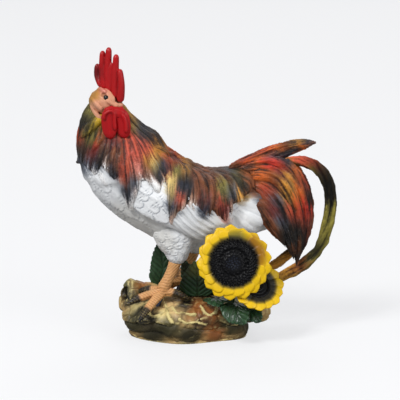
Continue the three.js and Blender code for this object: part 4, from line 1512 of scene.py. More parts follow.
PLUMAGE = touches({
    Tone.OLIVE: ((-171, 338, 16), (-177, 303, 8, 2.0), (-168, 297, 10), (-41, 256, 8), (24, 229, 11)),
    Tone.YELLOW: ((-150, 331, 7, 3.0), (-158, 322, 7, 3.0), (-167, 313, 7, 2.0)),
    Tone.ORANGE: ((-151, 309, 5, 2.0), (-155, 298, 5, 2.0)),
    Tone.RED: ((-161, 287, 5, 1.5),),
    Tone.BLACK: ((-179, 318, 14), (-190, 267, 11)),
    Tone.DARK_OLIVE: ((-164, 314, 12), (50, 242, 12)),
    Tone.RUST: (
        (-186, 297, 13), (-126, 308, 12), (-118, 266, 14), (-119, 250, 11), (-46, 275, 14),
        (22, 213, 8),
    ),
    Tone.DARK_BROWN: (
        (-176, 284, 12), (-147, 277, 11), (-77, 299, 13), (-14, 265, 12), (17, 259, 13), (62, 260, 11),
    ),
    Tone.MAROON: ((-166, 277, 11), (-137, 295, 13), (-56, 252, 7), (-2, 215, 9), (27, 198, 8)),
    Tone.BROWN: (
        (-153, 296, 9), (-128, 280, 12), (-10, 247, 12), (4, 255, 10), (6, 229, 11), (73, 226, 12),
        (62, 241, 10),
    ),
    Tone.BLUE_BLACK: (
        (-159, 263, 10), (-116, 226, 11), (-133, 253, 11), (-92, 314, 16), (-64, 257, 11),
        (-30, 237, 12), (-5, 200, 10), (40, 256, 10),
    ),
    Tone.SLATE: ((-178, 256, 12), (-105, 240, 9), (-51, 207, 9), (38, 222, 9), (86, 210, 10)),
    Tone.SALMON: ((-109, 300, 16), (-106, 280, 14), (-88, 284, 15), (-38, 218, 7)),
    Tone.PINK: ((-100, 262, 10), (31, 183, 7, 0.7)),
    Tone.OCHRE: (
        (-112, 331, 15), (-122, 346, 13), (-83, 272, 10), (-66, 283, 13), (-31, 259, 10), (52, 213, 8),
    ),
    Tone.STRAW: ((-104, 315, 10), (-73, 264, 8), (-50, 242, 8), (-51, 228, 7)),
    Tone.WHITE: (
        (-150, 248, 13), (-166, 240, 14), (-138, 224, 22), (-92, 238, 10), (-80, 230, 16),
        (-72, 206, 20), (-98, 206, 18), (-62, 228, 8), (-22, 196, 14), (-30, 172, 20), (5, 166, 18),
        (40, 188, 10), (62, 192, 16), (78, 180, 18), (22, 166, 14), (50, 168, 16),
    ),
    Tone.BELLY_GREY: ((-118, 192, 18), (-92, 174, 18), (-66, 152, 20)),
})
WHITE_PAINT = Painter(Tone.WHITE, PLUMAGE)
CAPE_PAINT = Painter(Tone.BROWN, PLUMAGE)

BODY_COMBING = Combing(0.15, 0.05, 0.01, Tone.GREY_WASH_AND_SHADE, smear=0.2, tile=0.8, groove_ink_and_shade_strength=0.3)
WING_COMBING = Combing(0.12, 0.06, 0.01, Tone.GREY_WASH_AND_SHADE, tile=0.85, groove_ink_and_shade_strength=0.55)
CAPE_COMBING = Combing(0.6, 0.16, 0.3, Tone.BLACK, steps=16)
TAIL_COMBING = Combing(0.65, 0.18, 0.36, Tone.BLACK, steps=18)


@dataclass
class Torso:
    """White body, thighs, wings and fluff under the tail."""

    skin: Skin
    scale_width: float = 13.0
    scale_length: float = 24.0
    breast: float = -176.0
    row_count: int = 13
    row_step: float = 19.0
    covert_rows: int = 3
    covert_count: int = 6
    covert_start: tuple[float, float] = (-116.0, 204.0)
    covert_width: float = 9.0
    flight_count: int = 5
    down_rows: int = 5
    down_count: int = 8
    down_length: float = 14.0
    down_width: float = 10.0
    fans: tuple[Line, ...] = (
        ((30, 182), (42, 168), (54, 158)),
        ((38, 190), (54, 174), (70, 162)),
        ((44, 198), (64, 184), (84, 172)),
        ((44, 206), (66, 198), (90, 188)),
        ((52, 214), (72, 210), (93, 203)),
    )

    def build(self) -> None:
        """Makes and dresses the white pieces."""
        self.build_body()
        for side in Side:
            self.build_wing(side)
            self.build_thigh(side)
        self.build_vent()

    def middle(self, x: float) -> Vector:
        """Middle of the body at a place along it.

        Args:
            x: Place along the body in millimetres.

        Returns:
            A point half way between belly and back.
        """
        top, _ = self.skin.shoot(Vector((x * MM, 0, FAR_OUT)), -UP)
        low, _ = self.skin.shoot(Vector((x * MM, 0, 0)), UP)
        return (top + low) / 2

    def lay(self, casting: Casting, trail: Trail, half: float, *nodes: str) -> None:
        """Engraves one round feather where it lies on some castings.

        Args:
            casting: The casting that takes it.
            trail: Its middle line.
            half: Its half width in millimetres.
            *nodes: The CAD nodes that its end may lie on.
        """
        casting.guides.append(trail)
        if self.skin.owner(trail.points[-1]) in nodes:
            casting.outlines.append(Outline.scallop(trail, half))

    def build_body(self) -> None:
        """Covers the breast and belly with soft scale feathers."""
        casting = Casting("body", WHITE_PAINT, 3)
        casting.add_patch(self.skin, -0.4, 2.2, "body_shell")
        for row in range(self.row_count):
            middle = self.middle(self.breast + row * self.row_step)
            for step in range(-5, 6):
                turn = math.radians(180 + 24 * (step + 0.5 * (row % 2)) + casting.chance.uniform(-5, 5))
                out = Vector((0, math.sin(turn), math.cos(turn)))
                root, _ = self.skin.shoot(middle + out * 0.2, -out)
                heading = Vector((0.8, 0, -0.6)) if abs(step) > 1 else Vector((1, 0, -0.2))
                trail = Trail.over(self.skin, root, heading, self.scale_length, Vector())
                self.lay(casting, trail, self.scale_width, "body_shell", "neck_hackle")
        mesh = casting.cast_plumage(1.5, 3, BODY_COMBING)
        show(mesh, "body", WHITE_FEATHERS, "resin_white", "body_shell")

    def build_wing(self, side: Side) -> None:
        """Engraves coverts and long flight feathers on one wing.

        Args:
            side: Which wing.
        """
        name = f"wing_{side.label}"
        casting = Casting(name, WHITE_PAINT, 5)
        casting.add_node(name)
        for row in range(self.covert_rows):
            for step in range(self.covert_count):
                x, z = self.covert_start
                shift = step + 0.5 * (row % 2)
                x = x + 20 * row + 8 * shift + casting.chance.uniform(-2, 2)
                z = z - 11 * row + 11 * shift + casting.chance.uniform(-2, 2)
                knots = ((x, z), (x + 8, z - 6), (x + 15, z - 12))
                if x + z < 160 + 4 * row:
                    trail = Trail.drawn(self.skin, knots, side)
                    self.lay(casting, trail, self.covert_width, name)
        for number in range(self.flight_count):
            share = number / (self.flight_count - 1)
            root = (-62 + 30 * share, 202 + 27 * share)
            tip = (2 + 9 * share, 147 + 32 * share)
            bow = ((root[0] + tip[0]) / 2 - 2, (root[1] + tip[1]) / 2 - 4)
            trail = Trail.drawn(self.skin, (root, bow, tip), side)
            casting.guides.append(trail)
            casting.outlines.append(Outline.edge(trail, side.value))
            casting.add_lock(trail, LockShape(6.0, 1.8, Tip.ROUNDED, 1.2 - 0.8 * share, 3.0))
        show(casting.cast_plumage(1.1, 3, WING_COMBING), name, WHITE_FEATHERS, "resin_white", name)

    def build_thigh(self, side: Side) -> None:
        """Engraves downy feathers round one thigh.

        Args:
            side: Which thigh.
        """
        name = f"thigh_{side.label}"
        casting = Casting(name, WHITE_PAINT, 7)
        casting.add_node(name)
        low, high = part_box(name)
        middle = (low + high) / 2
        for row in range(self.down_rows):
            z = high.z - (0.16 + 0.17 * row) * (high.z - low.z)
            for step in range(self.down_count):
                turn = 360 / self.down_count * (step + 0.5 * (row % 2))
                turn = math.radians(turn + casting.chance.uniform(-8, 8))
                out = Vector((math.cos(turn), math.sin(turn), 0))
                root, _ = self.skin.shoot(Vector((middle.x, middle.y, z)) + out * 0.06, -out)
                heading = Vector((0.25 + casting.chance.uniform(-0.2, 0.2), 0, -1))
                trail = Trail.over(self.skin, root, heading, self.down_length, Vector())
                self.lay(casting, trail, self.down_width, name)
        show(casting.cast_plumage(1.2, 3, BODY_COMBING), name, WHITE_FEATHERS, "resin_white", name)

    def build_vent(self) -> None:
        """Fans broad white plumes under the tail."""
        casting = Casting("vent_fluff", WHITE_PAINT, 9)
        casting.add_node("vent_fluff")
        shape = LockShape(10, 2.8, Tip.ROUNDED, 1.8, 2.0)
        for side in Side:
            for knots in self.fans:
                trail = Trail.drawn(self.skin, knots, side)
                casting.add_lock(trail, shape)
                casting.guides.append(trail)
                casting.outlines.append(Outline.edge(trail, side.value))
        mesh = casting.cast_plumage(1.3, 3, BODY_COMBING)
        show(mesh, "vent_fluff", WHITE_FEATHERS, "resin_white", "vent_fluff")


@dataclass(frozen=True)
class DrawnLock:
    """A lock that the sculptor placed, in millimetres of the side view."""

    knots: Line
    width: float = 6.5
    tip: Tip = Tip.POINTED
    thickness: float = 2.6
    lift: float = 0.8


HACKLE_LOCKS = (
    DrawnLock(((-179, 334), (-185, 301), (-191, 266)), 8),
    DrawnLock(((-117, 296), (-128, 271), (-130, 244)), 8),
    DrawnLock(((-110, 296), (-116, 263), (-120, 233), (-116, 211)), 10),
    DrawnLock(((-97, 289), (-106, 256), (-111, 226), (-107, 199)), 8),
    DrawnLock(((-85, 284), (-94, 260), (-101, 235)), 7),
    DrawnLock(((-79, 286), (-72, 266), (-73, 247)), 7),
    DrawnLock(((-67, 283), (-57, 266), (-56, 247)), 7),
    DrawnLock(((-123, 292), (-138, 274), (-147, 256)), 7),
    DrawnLock(((-129, 301), (-147, 283), (-160, 260)), 7.5),
    DrawnLock(((-150, 312), (-154, 298), (-163, 281)), 5, Tip.POINTED, 3.4, 2.0),
    DrawnLock(((-146, 336), (-162, 320), (-182, 299)), 7.5, Tip.ROUNDED, 4.0, 2.6),
)
SADDLE_LOCKS = (
    DrawnLock(((-82, 290), (-59, 278), (-35, 266)), 7),
    DrawnLock(((-67, 284), (-38, 275), (-9, 260)), 7),
    DrawnLock(((-45, 275), (-16, 263), (9, 242)), 7),
    DrawnLock(((47, 242), (65, 236), (84, 220)), 12, Tip.ROUNDED),
    DrawnLock(((32, 252), (47, 239), (57, 213)), 7),
    DrawnLock(((23, 254), (38, 236), (45, 209)), 7),
    DrawnLock(((12, 255), (26, 234), (35, 212), (38, 178)), 7),
    DrawnLock(((-1, 260), (16, 242), (25, 215), (29, 188)), 7),
    DrawnLock(((-15, 266), (3, 245), (9, 219), (3, 187)), 7),
    DrawnLock(((-26, 272), (-9, 249), (0, 224), (-4, 191)), 7.5),
    DrawnLock(((-38, 275), (-26, 257), (-23, 227)), 7),
    DrawnLock(((-35, 264), (-34, 242), (-40, 206)), 6),
    DrawnLock(((-44, 272), (-40, 249), (-43, 219), (-48, 188)), 6),
    DrawnLock(((-59, 275), (-51, 254), (-50, 227), (-51, 193)), 6),
)


@dataclass
class Cape:
    """Long painted locks of the neck and of the saddle."""

    skin: Skin
    neck_top: Vector = field(default_factory=lambda: Vector((-146.6, 0, 358)) * MM)
    neck_foot: Vector = field(default_factory=lambda: Vector((-112.6, 0, 212)) * MM)
    neck_rows: int = 8
    neck_count: int = 16
    neck_length: float = 24.0
    saddle_count: int = 12
    saddle_length: float = 46.0

    def build(self) -> None:
        """Makes and dresses both capes."""
        self.build_hackle()
        self.build_saddle()

    def build_hackle(self) -> None:
        """Combs the neck downwards and hangs long locks over the breast."""
        casting = Casting("neck_hackle", CAPE_PAINT, 11)
        casting.add_patch(self.skin, 0.5, 3.0, "neck_hackle")
        for row in range(self.neck_rows):
            z = (350 - 14 * row) * MM
            share = (self.neck_top.z - z) / (self.neck_top.z - self.neck_foot.z)
            axis = self.neck_top.lerp(self.neck_foot, share)
            for step in range(self.neck_count):
                turn = 2 * math.pi * step / self.neck_count
                out = Vector((-math.cos(turn), math.sin(turn), 0))
                root, _ = self.skin.shoot(Vector((axis.x, 0, z)) + out * 0.2, -out)
                rearward = (1 - math.cos(turn)) / 2
                heading = Vector((-0.3 + 0.95 * rearward, 0, -1))
                trail = Trail.over(self.skin, root, heading, self.neck_length, Vector())
                casting.guides.append(trail)
        self.draw_locks(casting, HACKLE_LOCKS)
        mesh = casting.cast_plumage(1.2, 3, CAPE_COMBING)
        show(mesh, "neck_hackle", HACKLE_FEATHERS, "resin_hackle", "neck_hackle")

    def build_saddle(self) -> None:
        """Combs the back towards the tail and hangs long locks over the wings."""
        casting = Casting("saddle_cape", CAPE_PAINT, 13)
        casting.add_patch(self.skin, 0.5, 3.0, "saddle_cape")
        for step in range(self.saddle_count):
            for side in Side:
                above = Vector(((-72 + 12 * step) * MM, side.value * 4 * MM, FAR_OUT))
                root, _ = self.skin.shoot(above, -UP)
                heading = Vector((1, side.value * 0.35, -0.2))
                pull = Vector((-0.03, side.value * 0.02, -0.1))
                trail = Trail.over(self.skin, root, heading, self.saddle_length, pull)
                casting.guides.append(trail)
        self.draw_locks(casting, SADDLE_LOCKS)
        mesh = casting.cast_plumage(1.2, 3, CAPE_COMBING)
        show(mesh, "saddle_cape", HACKLE_FEATHERS, "resin_hackle", "saddle_cape")

    def draw_locks(self, casting: Casting, locks: Sequence[DrawnLock]) -> None:
        """Lays single locks on both sides.

        Args:
            casting: The casting that takes them.
            locks: What to lay.
        """
        for lock in locks:
            for side in Side:
                trail = Trail.drawn(self.skin, lock.knots, side)
                casting.add_lock(trail, LockShape(lock.width, lock.thickness, lock.tip, lock.lift, 1.6))
                casting.guides.append(trail)


FACE_PAINT = Painter(
    Tone.PEACH,
    touches({
        Tone.OCHRE: ((-160, 368, 9), (-170, 357, 8)),
        Tone.OLIVE: ((-174, 347, 7),),
        Tone.PINK: ((-150, 372, 8),),
        Tone.PEACH: ((-146, 352, 12), (-128, 348, 10), (-162, 344, 10)),
        Tone.SALMON: ((-120, 341, 8, 0.6),),
    }),
)
COMB_PAINT = Painter(
    Tone.COMB_RED, touches({Tone.DEEP_RED: ((-158, 392, 12),), Tone.COMB_RED: ((-140, 390, 22),)})
)


@dataclass
class Head:
    """Face, beak, eyes, comb and wattles."""

    across: Vector = field(default_factory=lambda: Vector((-0.574, -0.819, 0)))
    eye_place: tuple[float, float] = (-145.5, 361.5)
    eye_radius: float = 3.9
    folds: tuple[tuple[Line, float, float], ...] = (
        (((-167, 357), (-159, 352), (-150, 342)), 3.6, 2.2),
        (((-168, 346), (-161, 338), (-152, 326)), 3.8, 2.2),
        (((-161, 369), (-153, 371), (-144, 367)), 2.6, 0.6),
        (((-144, 358), (-136, 352), (-127, 348)), 3.4, 0.4),
    )
    fingers: tuple[tuple[Line, float], ...] = (
        (((-150, 372), (-157.5, 388), (-157.5, 406)), 5.6),
        (((-146, 368), (-150, 398), (-149.5, 426)), 6.2),
        (((-139, 362), (-141.5, 398), (-140.3, 432)), 6.4),
        (((-131, 357), (-131, 392), (-129.5, 423)), 6.4),
        (((-124, 353), (-122, 378), (-124.5, 402)), 5.6),
    )
    web: Line = ((-138, 354), (-140, 382), (-140, 411))

    def build(self) -> None:
        """Makes and dresses the head."""
        low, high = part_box("head")
        self.middle = (low + high) / 2
        self.skin = Skin(("head", "beak_upper", "beak_lower", "neck_hackle"), 1.5, 3)
        x, z = self.eye_place
        place, out = self.skin.shoot(Vector((x * MM, -FAR_OUT, z * MM)), Vector((0, 1, 0)))
        self.eye = place - out * 0.45 * self.eye_radius * MM
        self.build_face()
        self.build_comb()
        self.build_wattles()
        self.build_eyes()

    def in_plane(self, x: float, z: float, middle: Vector) -> Vector:
        """A place of the side view, in millimetres, in the upright plane along the head."""
        y = middle.y - self.across.x / self.across.y * (x * MM - middle.x)
        return Vector((x * MM, y, z * MM))

    def add_ridge(self, casting: Casting, knots: Line, middle: Vector, shape: LockShape) -> None:
        """Adds a rounded ridge to a casting, in the upright plane along the head."""
        places = np.array([self.in_plane(x, z, middle) for x, z in knots])
        casting.add_lock(Trail.free(places, np.array([self.across] * len(knots))), shape)

    def build_face(self) -> None:
        """Smooths the skull and beak, with brow, cheek and ear lobes."""
        casting = Casting("head", FACE_PAINT, 17)
        casting.wander = 0.5
        casting.add_node("head")
        for knots, width, lift in self.folds:
            trail = Trail.drawn(self.skin, knots, Side.LEFT)
            casting.add_lock(trail, LockShape(width, 2.4, Tip.FINGER, lift, 0.2))
        show(casting.cast(0.9, 3, depth=0.7, reach=10), "head", FACE_SKIN, "resin_skin", "head")
        for name in ("beak_upper", "beak_lower"):
            casting = Casting(name, FACE_PAINT, 19)
            casting.add_node(name)
            show(casting.cast(0.8, 4, depth=0.7, reach=10), name, FACE_SKIN, "resin_skin", name)

    def build_comb(self) -> None:
        """Raises the comb's five fused points."""
        casting = Casting("comb", COMB_PAINT, 21)
        low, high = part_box("comb")
        middle = (low + high) / 2
        for knots, width in self.fingers:
            self.add_ridge(casting, knots, middle, LockShape(width, 6.6, Tip.FINGER, taper=0.3))
        self.add_ridge(casting, self.web, middle, LockShape(16.5, 4.8, Tip.FINGER, taper=0.1))
        show(casting.cast(0.9, 3, depth=0.9), "comb", RED_COMB, "resin_red", "comb")

    def build_wattles(self) -> None:
        """Hangs both wattles with their soft folds."""
        flap = ((-140, 350), (-140, 326), (-138, 299))
        bridge = ((-147, 332), (-139, 338), (-127, 339), (-116, 333))
        loop = ((-147, 329), (-147, 337), (-139, 343), (-132, 340), (-132, 328), (-131, 314))
        rear_flap = ((-126, 348), (-121, 326), (-117, 300))
        rear_fold = ((-121, 338), (-116, 326), (-115, 310))
        lobes = {
            Side.RIGHT: (
                (flap, -37.0, LockShape(12.0, 7.0, Tip.ROUNDED)),
                (bridge, -37.0, LockShape(9.0, 6.5, Tip.FINGER)),
                (loop, -43.0, LockShape(2.8, 3.0, Tip.FINGER)),
            ),
            Side.LEFT: (
                (rear_flap, -36.0, LockShape(12.0, 6.5, Tip.ROUNDED)),
                (rear_fold, -41.0, LockShape(3.2, 3.0, Tip.FINGER)),
            ),
        }
        for side, folds in lobes.items():
            name = f"wattle_{side.label}"
            casting = Casting(name, Painter(Tone.COMB_RED), 23)
            for knots, depth, shape in folds:
                casting.add_lock(Trail.shown([(x, depth, z) for x, z in knots]), shape)
            show(casting.cast(0.9, 6, depth=1.0), name, RED_COMB, "resin_red", name)

    def build_eyes(self) -> None:
        """Rounds both eyes."""
        flip = self.eye - self.across * 2 * (self.eye - self.middle).dot(self.across)
        for side, place in ((Side.LEFT, self.eye), (Side.RIGHT, flip)):
            name = f"eye_{side.label}"
            bm = bmesh.new()
            at, radius = Matrix.Translation(place), self.eye_radius * MM
            bmesh.ops.create_uvsphere(bm, u_segments=24, v_segments=16, radius=radius, matrix=at)
            show(mesh_of(bm, name), name, EYE_GLASS, "eye_black", name)


TAIL_TOUCHES = touches({
    Tone.RUST: (
        (64, 274, 14), (88, 283, 12), (150, 231, 11), (130, 182, 11), (142, 168, 10), (92, 220, 11),
        (147, 150, 9),
    ),
    Tone.ORANGE: (
        (78, 266, 11), (85, 243, 13), (106, 284, 13), (141, 281, 9), (138, 252, 11), (134, 208, 11),
        (131, 136, 9),
    ),
    Tone.RED: ((92, 262, 11), (106, 258, 11), (147, 190, 11)),
    Tone.DARK_BROWN: ((122, 291, 10),),
    Tone.OCHRE: ((134, 292, 10), (122, 233, 8), (120, 216, 12)),
    Tone.BLUE_BLACK: ((154, 297, 11), (124, 268, 12, 2.0)),
    Tone.SLATE: ((100, 270, 9), (105, 206, 9), (112, 177, 10)),
    Tone.BLACK: ((156, 208, 10), (132, 152, 18, 5.0), (129, 122, 10, 2.0)),
    Tone.BROWN: ((108, 240, 9),),
    Tone.MAROON: ((102, 190, 10),),
})
TAIL_PAINT = Painter(Tone.BROWN, TAIL_TOUCHES)
SICKLE_PAINT = Painter(
    Tone.OLIVE,
    touches({
        Tone.SALMON: ((141, 263, 12),),
        Tone.RUST: ((156, 266, 11),),
        Tone.DARK_BROWN: ((169, 250, 10),),
        Tone.BLACK: ((180, 228, 14), (181, 206, 13)),
        Tone.OLIVE: ((178, 182, 12), (170, 157, 14)),
        Tone.DARK_OLIVE: ((154, 131, 13),),
        Tone.BROWN: ((133, 107, 13),),
        Tone.OCHRE: ((112, 95, 14),),
    }),
)
INNER_SICKLE_PAINT = Painter(
    Tone.BROWN, touches({Tone.OCHRE: ((106, 106, 24),), Tone.BLACK: ((124, 128, 12),)})
)


@dataclass
class Tail:
    """Arched plumes and the two long sickle feathers."""

    root: Vector = field(default_factory=lambda: Vector((30, 0, 225)) * MM)
    strands: int = 5
    plumes: tuple[str, ...] = ("top", "arch", "main", "side", "low")
    outer_end: Line = ((178, 150), (162, 126), (141, 106), (118, 92), (96, 82))
    inner_end: Line = ((141, 132), (128, 118), (112, 104), (94, 92))

    def build(self) -> None:
        """Makes and dresses every plume."""
        for number, plume in enumerate(self.plumes):
            for side in Side:
                self.build_plume(f"{plume}_plume_{side.label}", 31 + number)
        self.build_sickle("outer_sickle", SICKLE_PAINT, self.outer_end)
        self.build_sickle("inner_sickle", INNER_SICKLE_PAINT, self.inner_end)

    def build_plume(self, name: str, seed: int) -> None:
        """Combs one plume from its root to its tip.

        Args:
            name: The CAD node.
            seed: Start of its random draws.
        """
        blade = Blade.measure(name, self.root)
        half = float(blade.halves.max()) / MM
        casting = Casting(name, TAIL_PAINT, seed)
        casting.add_node(name)
        for strand in range(self.strands):
            offset = -0.6 + 1.2 * strand / (self.strands - 1)
            casting.guides.append(blade.trail(offset, 0.0, 1.0))
            for face in (-1, 1):
                end = casting.chance.uniform(0.86, 0.98)
                shape = LockShape(0.2 * half, 2.2)
                casting.add_lock(blade.trail(offset, 0.05, end, face * 2.2), shape)
        show(casting.cast_plumage(1.1, 3, TAIL_COMBING), name, TAIL_FEATHERS, "resin_tail", name)

    def build_sickle(self, name: str, painter: Painter, end: Line) -> None:
        """Draws one long ribbon feather.

        Args:
            name: The CAD node.
            painter: What colours it.
            end: Places in the side view along its broad end, which leans on the flowers.
        """
        blade = Blade.measure(name, self.root + Vector((40, 0, 20)) * MM, 17)
        casting = Casting(name, painter, 41)
        casting.add_node(name)
        casting.guides.append(blade.trail(0, 0.0, 1.0))
        depth = blade.middles[-3][1] / MM
        shape = LockShape(7.5, 2.6, Tip.FINGER)
        casting.add_lock(Trail.shown([(x, depth, z) for x, z in end]), shape)
        show(casting.cast_plumage(1.1, 4, TAIL_COMBING), name, SICKLE_FEATHERS, "resin_ribbon", name)


@dataclass
class Legs:
    """Scaled shanks and toes with black claws, and the steel rods inside them."""

    ring_step: float = 4.6
    ring_depth: float = 0.8
    claw: float = 29.0
    toes: int = 4
    toe_spread: float = 0.4

    def build(self) -> None:
        """Makes and dresses both legs."""
        for side in Side:
            self.build_leg(side)
            dress_node(f"leg_rod_{side.label}", ROD_STEEL)

    def build_leg(self, side: Side) -> None:
        """Cuts ring scales into one leg, paints its ring grooves brown, which also paints the shade in
        them, and blackens its claws.

        Args:
            side: Which leg.
        """
        name = f"leg_{side.label}"
        casting = Casting(name, Painter(Tone.LEG_TAN), 43)
        casting.add_node(name)
        mesh = casting.cast(0.9, 4)
        places, normals, edges = read_mesh(mesh)
        gone = walk(places, edges, int(np.argmax(places[:, 2])))
        gone = np.where(np.isfinite(gone), gone, 0)
        wave = np.abs(np.sin(math.pi * gone / (self.ring_step * MM))) ** 0.6
        places += normals * ((wave - 0.8) * self.ring_depth * MM)[:, None]
        mesh.vertices.foreach_set("co", places.ravel())
        mesh.update()
        tips = self.toe_tips(places)
        gap = np.min(np.linalg.norm(places[:, None] - tips[None], axis=2), axis=1)
        black = 1 - ease(0.8 * self.claw * MM, self.claw * MM, gap)
        # Brown paint in the ring grooves, which also paints the shade in them.
        line = 0.55 * (1 - ease(0.15, 0.6, wave))
        paint = Tone.LEG_TAN.srgb + (Tone.LEG_BROWN.srgb - Tone.LEG_TAN.srgb) * line[:, None]
        paint += (Tone.BLACK.srgb - paint) * black[:, None]
        colours = np.hstack([to_linear(paint), np.ones((len(places), 1))])
        mesh.attributes["paint"].data.foreach_set("color", colours.astype(np.float32).ravel())
        mesh.attributes["hollow"].data.foreach_set("value", hollows(mesh, 8, 0.6).astype(np.float32))
        show(mesh, name, LEG_SKIN, "resin_leg", name)

    def toe_tips(self, places: ndarray) -> ndarray:
        """Finds the ends of the toes.

        Args:
            places: Vertex places of the leg.

        Returns:
            One row for each toe.
        """
        rise = (places[:, 2] - places[:, 2].min()) / MM
        shank = places[(rise > 40) & (rise < 55), :2].mean(0)
        foot = places[rise < 35]
        away = foot[:, :2] - shank
        turn = np.arctan2(away[:, 1], away[:, 0])
        picked: list[int] = []
        for index in np.argsort(-np.hypot(*away.T)):
            gaps = [abs(math.remainder(turn[index] - turn[other], 2 * math.pi)) for other in picked]
            if all(gap > self.toe_spread for gap in gaps):
                picked.append(int(index))
            if len(picked) == self.toes:
                break
        return foot[picked]


@dataclass
class Sunflower:
    """One flower head: two rings of petals round a seeded disc."""

    name: str
    petal_count: int
    seed: int
    seeds: int = 300
    groove: tuple[float, float] = (0.5, 0.57)
    rings: tuple[tuple[float, float, float], ...] = ((1.03, -2.2, 2.4), (0.94, 0.6, 1.3))
    shingle: float = 0.14

    def build(self) -> None:
        """Makes and dresses the petals and the disc."""
        self.middle, axes = flat_axes(f"{self.name}_petals")
        disc, _ = flat_axes(f"{self.name}_seed_disc")
        facing = Vector(axes[2])
        self.facing = facing if facing.dot(Vector(disc - self.middle)) > 0 else -facing
        self.right = self.facing.cross(UP).normalized()
        self.up = self.right.cross(self.facing).normalized()
        petals = self.spread(f"{self.name}_petals")
        seeds = self.spread(f"{self.name}_seed_disc")
        self.rim = float(np.hypot(petals[:, 0], petals[:, 1]).max())
        self.disc_rim = float(np.hypot(seeds[:, 0], seeds[:, 1]).max())
        self.disc_top = float(seeds[:, 2].max())
        self.build_petals()
        self.build_disc()

    def spread(self, node: str) -> ndarray:
        """Vertex places of a CAD node as right, up and out of the flower."""
        return (node_places(node) - self.middle) @ np.array([self.right, self.up, self.facing]).T

    def at(self, radius: float, turn: float, out: float) -> Vector:
        """A place in the flower, from its distance from the axis, its angle and its height."""
        flat = self.right * math.cos(turn) + self.up * math.sin(turn)
        return Vector(self.middle) + flat * radius + self.facing * out

    def build_petals(self) -> None:
        """Sets two rings of petals that overlap like shingles."""
        name = f"{self.name}_petals"
        shade = touches({
            Tone.PETAL_BROWN: ((64, 150, 13), (72, 136, 13)),
            Tone.OLIVE: ((46, 160, 12, 0.6),),
            Tone.PETAL: ((20, 110, 60, 0.3),),
        })
        painter = Painter(Tone.PETAL, shade, root=Tone.BLACK, root_end=0.43, root_strength=0.9)
        casting = Casting(name, painter, self.seed)
        half = 1.15 * math.pi * self.rim / self.petal_count / MM
        for ring, (reach, lift, thick) in enumerate(self.rings):
            shape = LockShape(half, thick, Tip.PETAL)
            for number in range(self.petal_count):
                turn = 2 * math.pi * (number + 0.5 * ring) / self.petal_count
                turn += casting.chance.uniform(-0.04, 0.04)
                far = self.rim * reach * casting.chance.uniform(0.94, 1.02)
                curl = casting.chance.uniform(-0.4, 1.2)
                knots = np.array([
                    self.at(0.62 * self.disc_rim, turn, lift * MM),
                    self.at(0.5 * (self.disc_rim + far), turn, (lift + 0.8) * MM),
                    self.at(far, turn + casting.chance.uniform(-0.03, 0.03), (lift - 0.6 + curl) * MM),
                ])
                onward = self.up * math.cos(turn) - self.right * math.sin(turn)
                away = self.facing + onward * self.shingle
                casting.add_lock(Trail.free(knots, np.array([away] * 3)), shape)
        show(casting.cast(0.75, 2, depth=1.6, reach=12), name, PETAL_PAINT, "resin_petal", name)

    def build_disc(self) -> None:
        """Domes the disc, cuts its ring groove and sets its seeds in spirals."""
        name = f"{self.name}_seed_disc"
        casting = Casting(name, Painter(Tone.SEED), self.seed + 1)
        casting.add_node(name)
        golden = math.pi * (3 - math.sqrt(5))
        pale = Painter(Tone.BLUE_BLACK)
        shape = LockShape(1.3, 1.0, Tip.FINGER)
        for number in range(self.seeds):
            share = math.sqrt((number + 0.5) / self.seeds)
            if self.groove[0] < share < self.groove[1]:
                continue
            radius = 0.98 * share * self.disc_rim
            turn = number * golden
            dome = self.disc_top * (1 - 0.5 * max(0.0, share - 0.5) ** 2 / 0.25)
            tall = 0.2 if share < self.groove[0] else 0.8
            base = self.at(radius, turn, dome - 2.4 * MM)
            tip = self.at(radius * 1.04 + 0.6 * MM, turn, dome + tall * MM)
            knots = np.array([base, (base + tip) / 2, tip])
            side = np.array(self.facing.cross(base - Vector(self.middle)).normalized())
            trail = Trail.free(knots, np.array([side] * 3))
            casting.add_lock(trail, shape, pale if share < 0.3 else None)
        show(casting.cast(0.85, 1, depth=0.8, reach=8), name, SEED_PAINT, "resin_seed", name)


LEAF_GREENS = Painter(
    Tone.LEAF_GREEN,
    touches({
        Tone.OLIVE: ((-8, 104, 16, 1.5),),
        Tone.OCHRE: ((-4, 90, 9, 0.5),),
        Tone.DARK_OLIVE: ((-30, 98, 14, 0.6),),
        Tone.LEAF_DARK: ((-14, 80, 14, 0.6),),
    }),
    0.2,
)


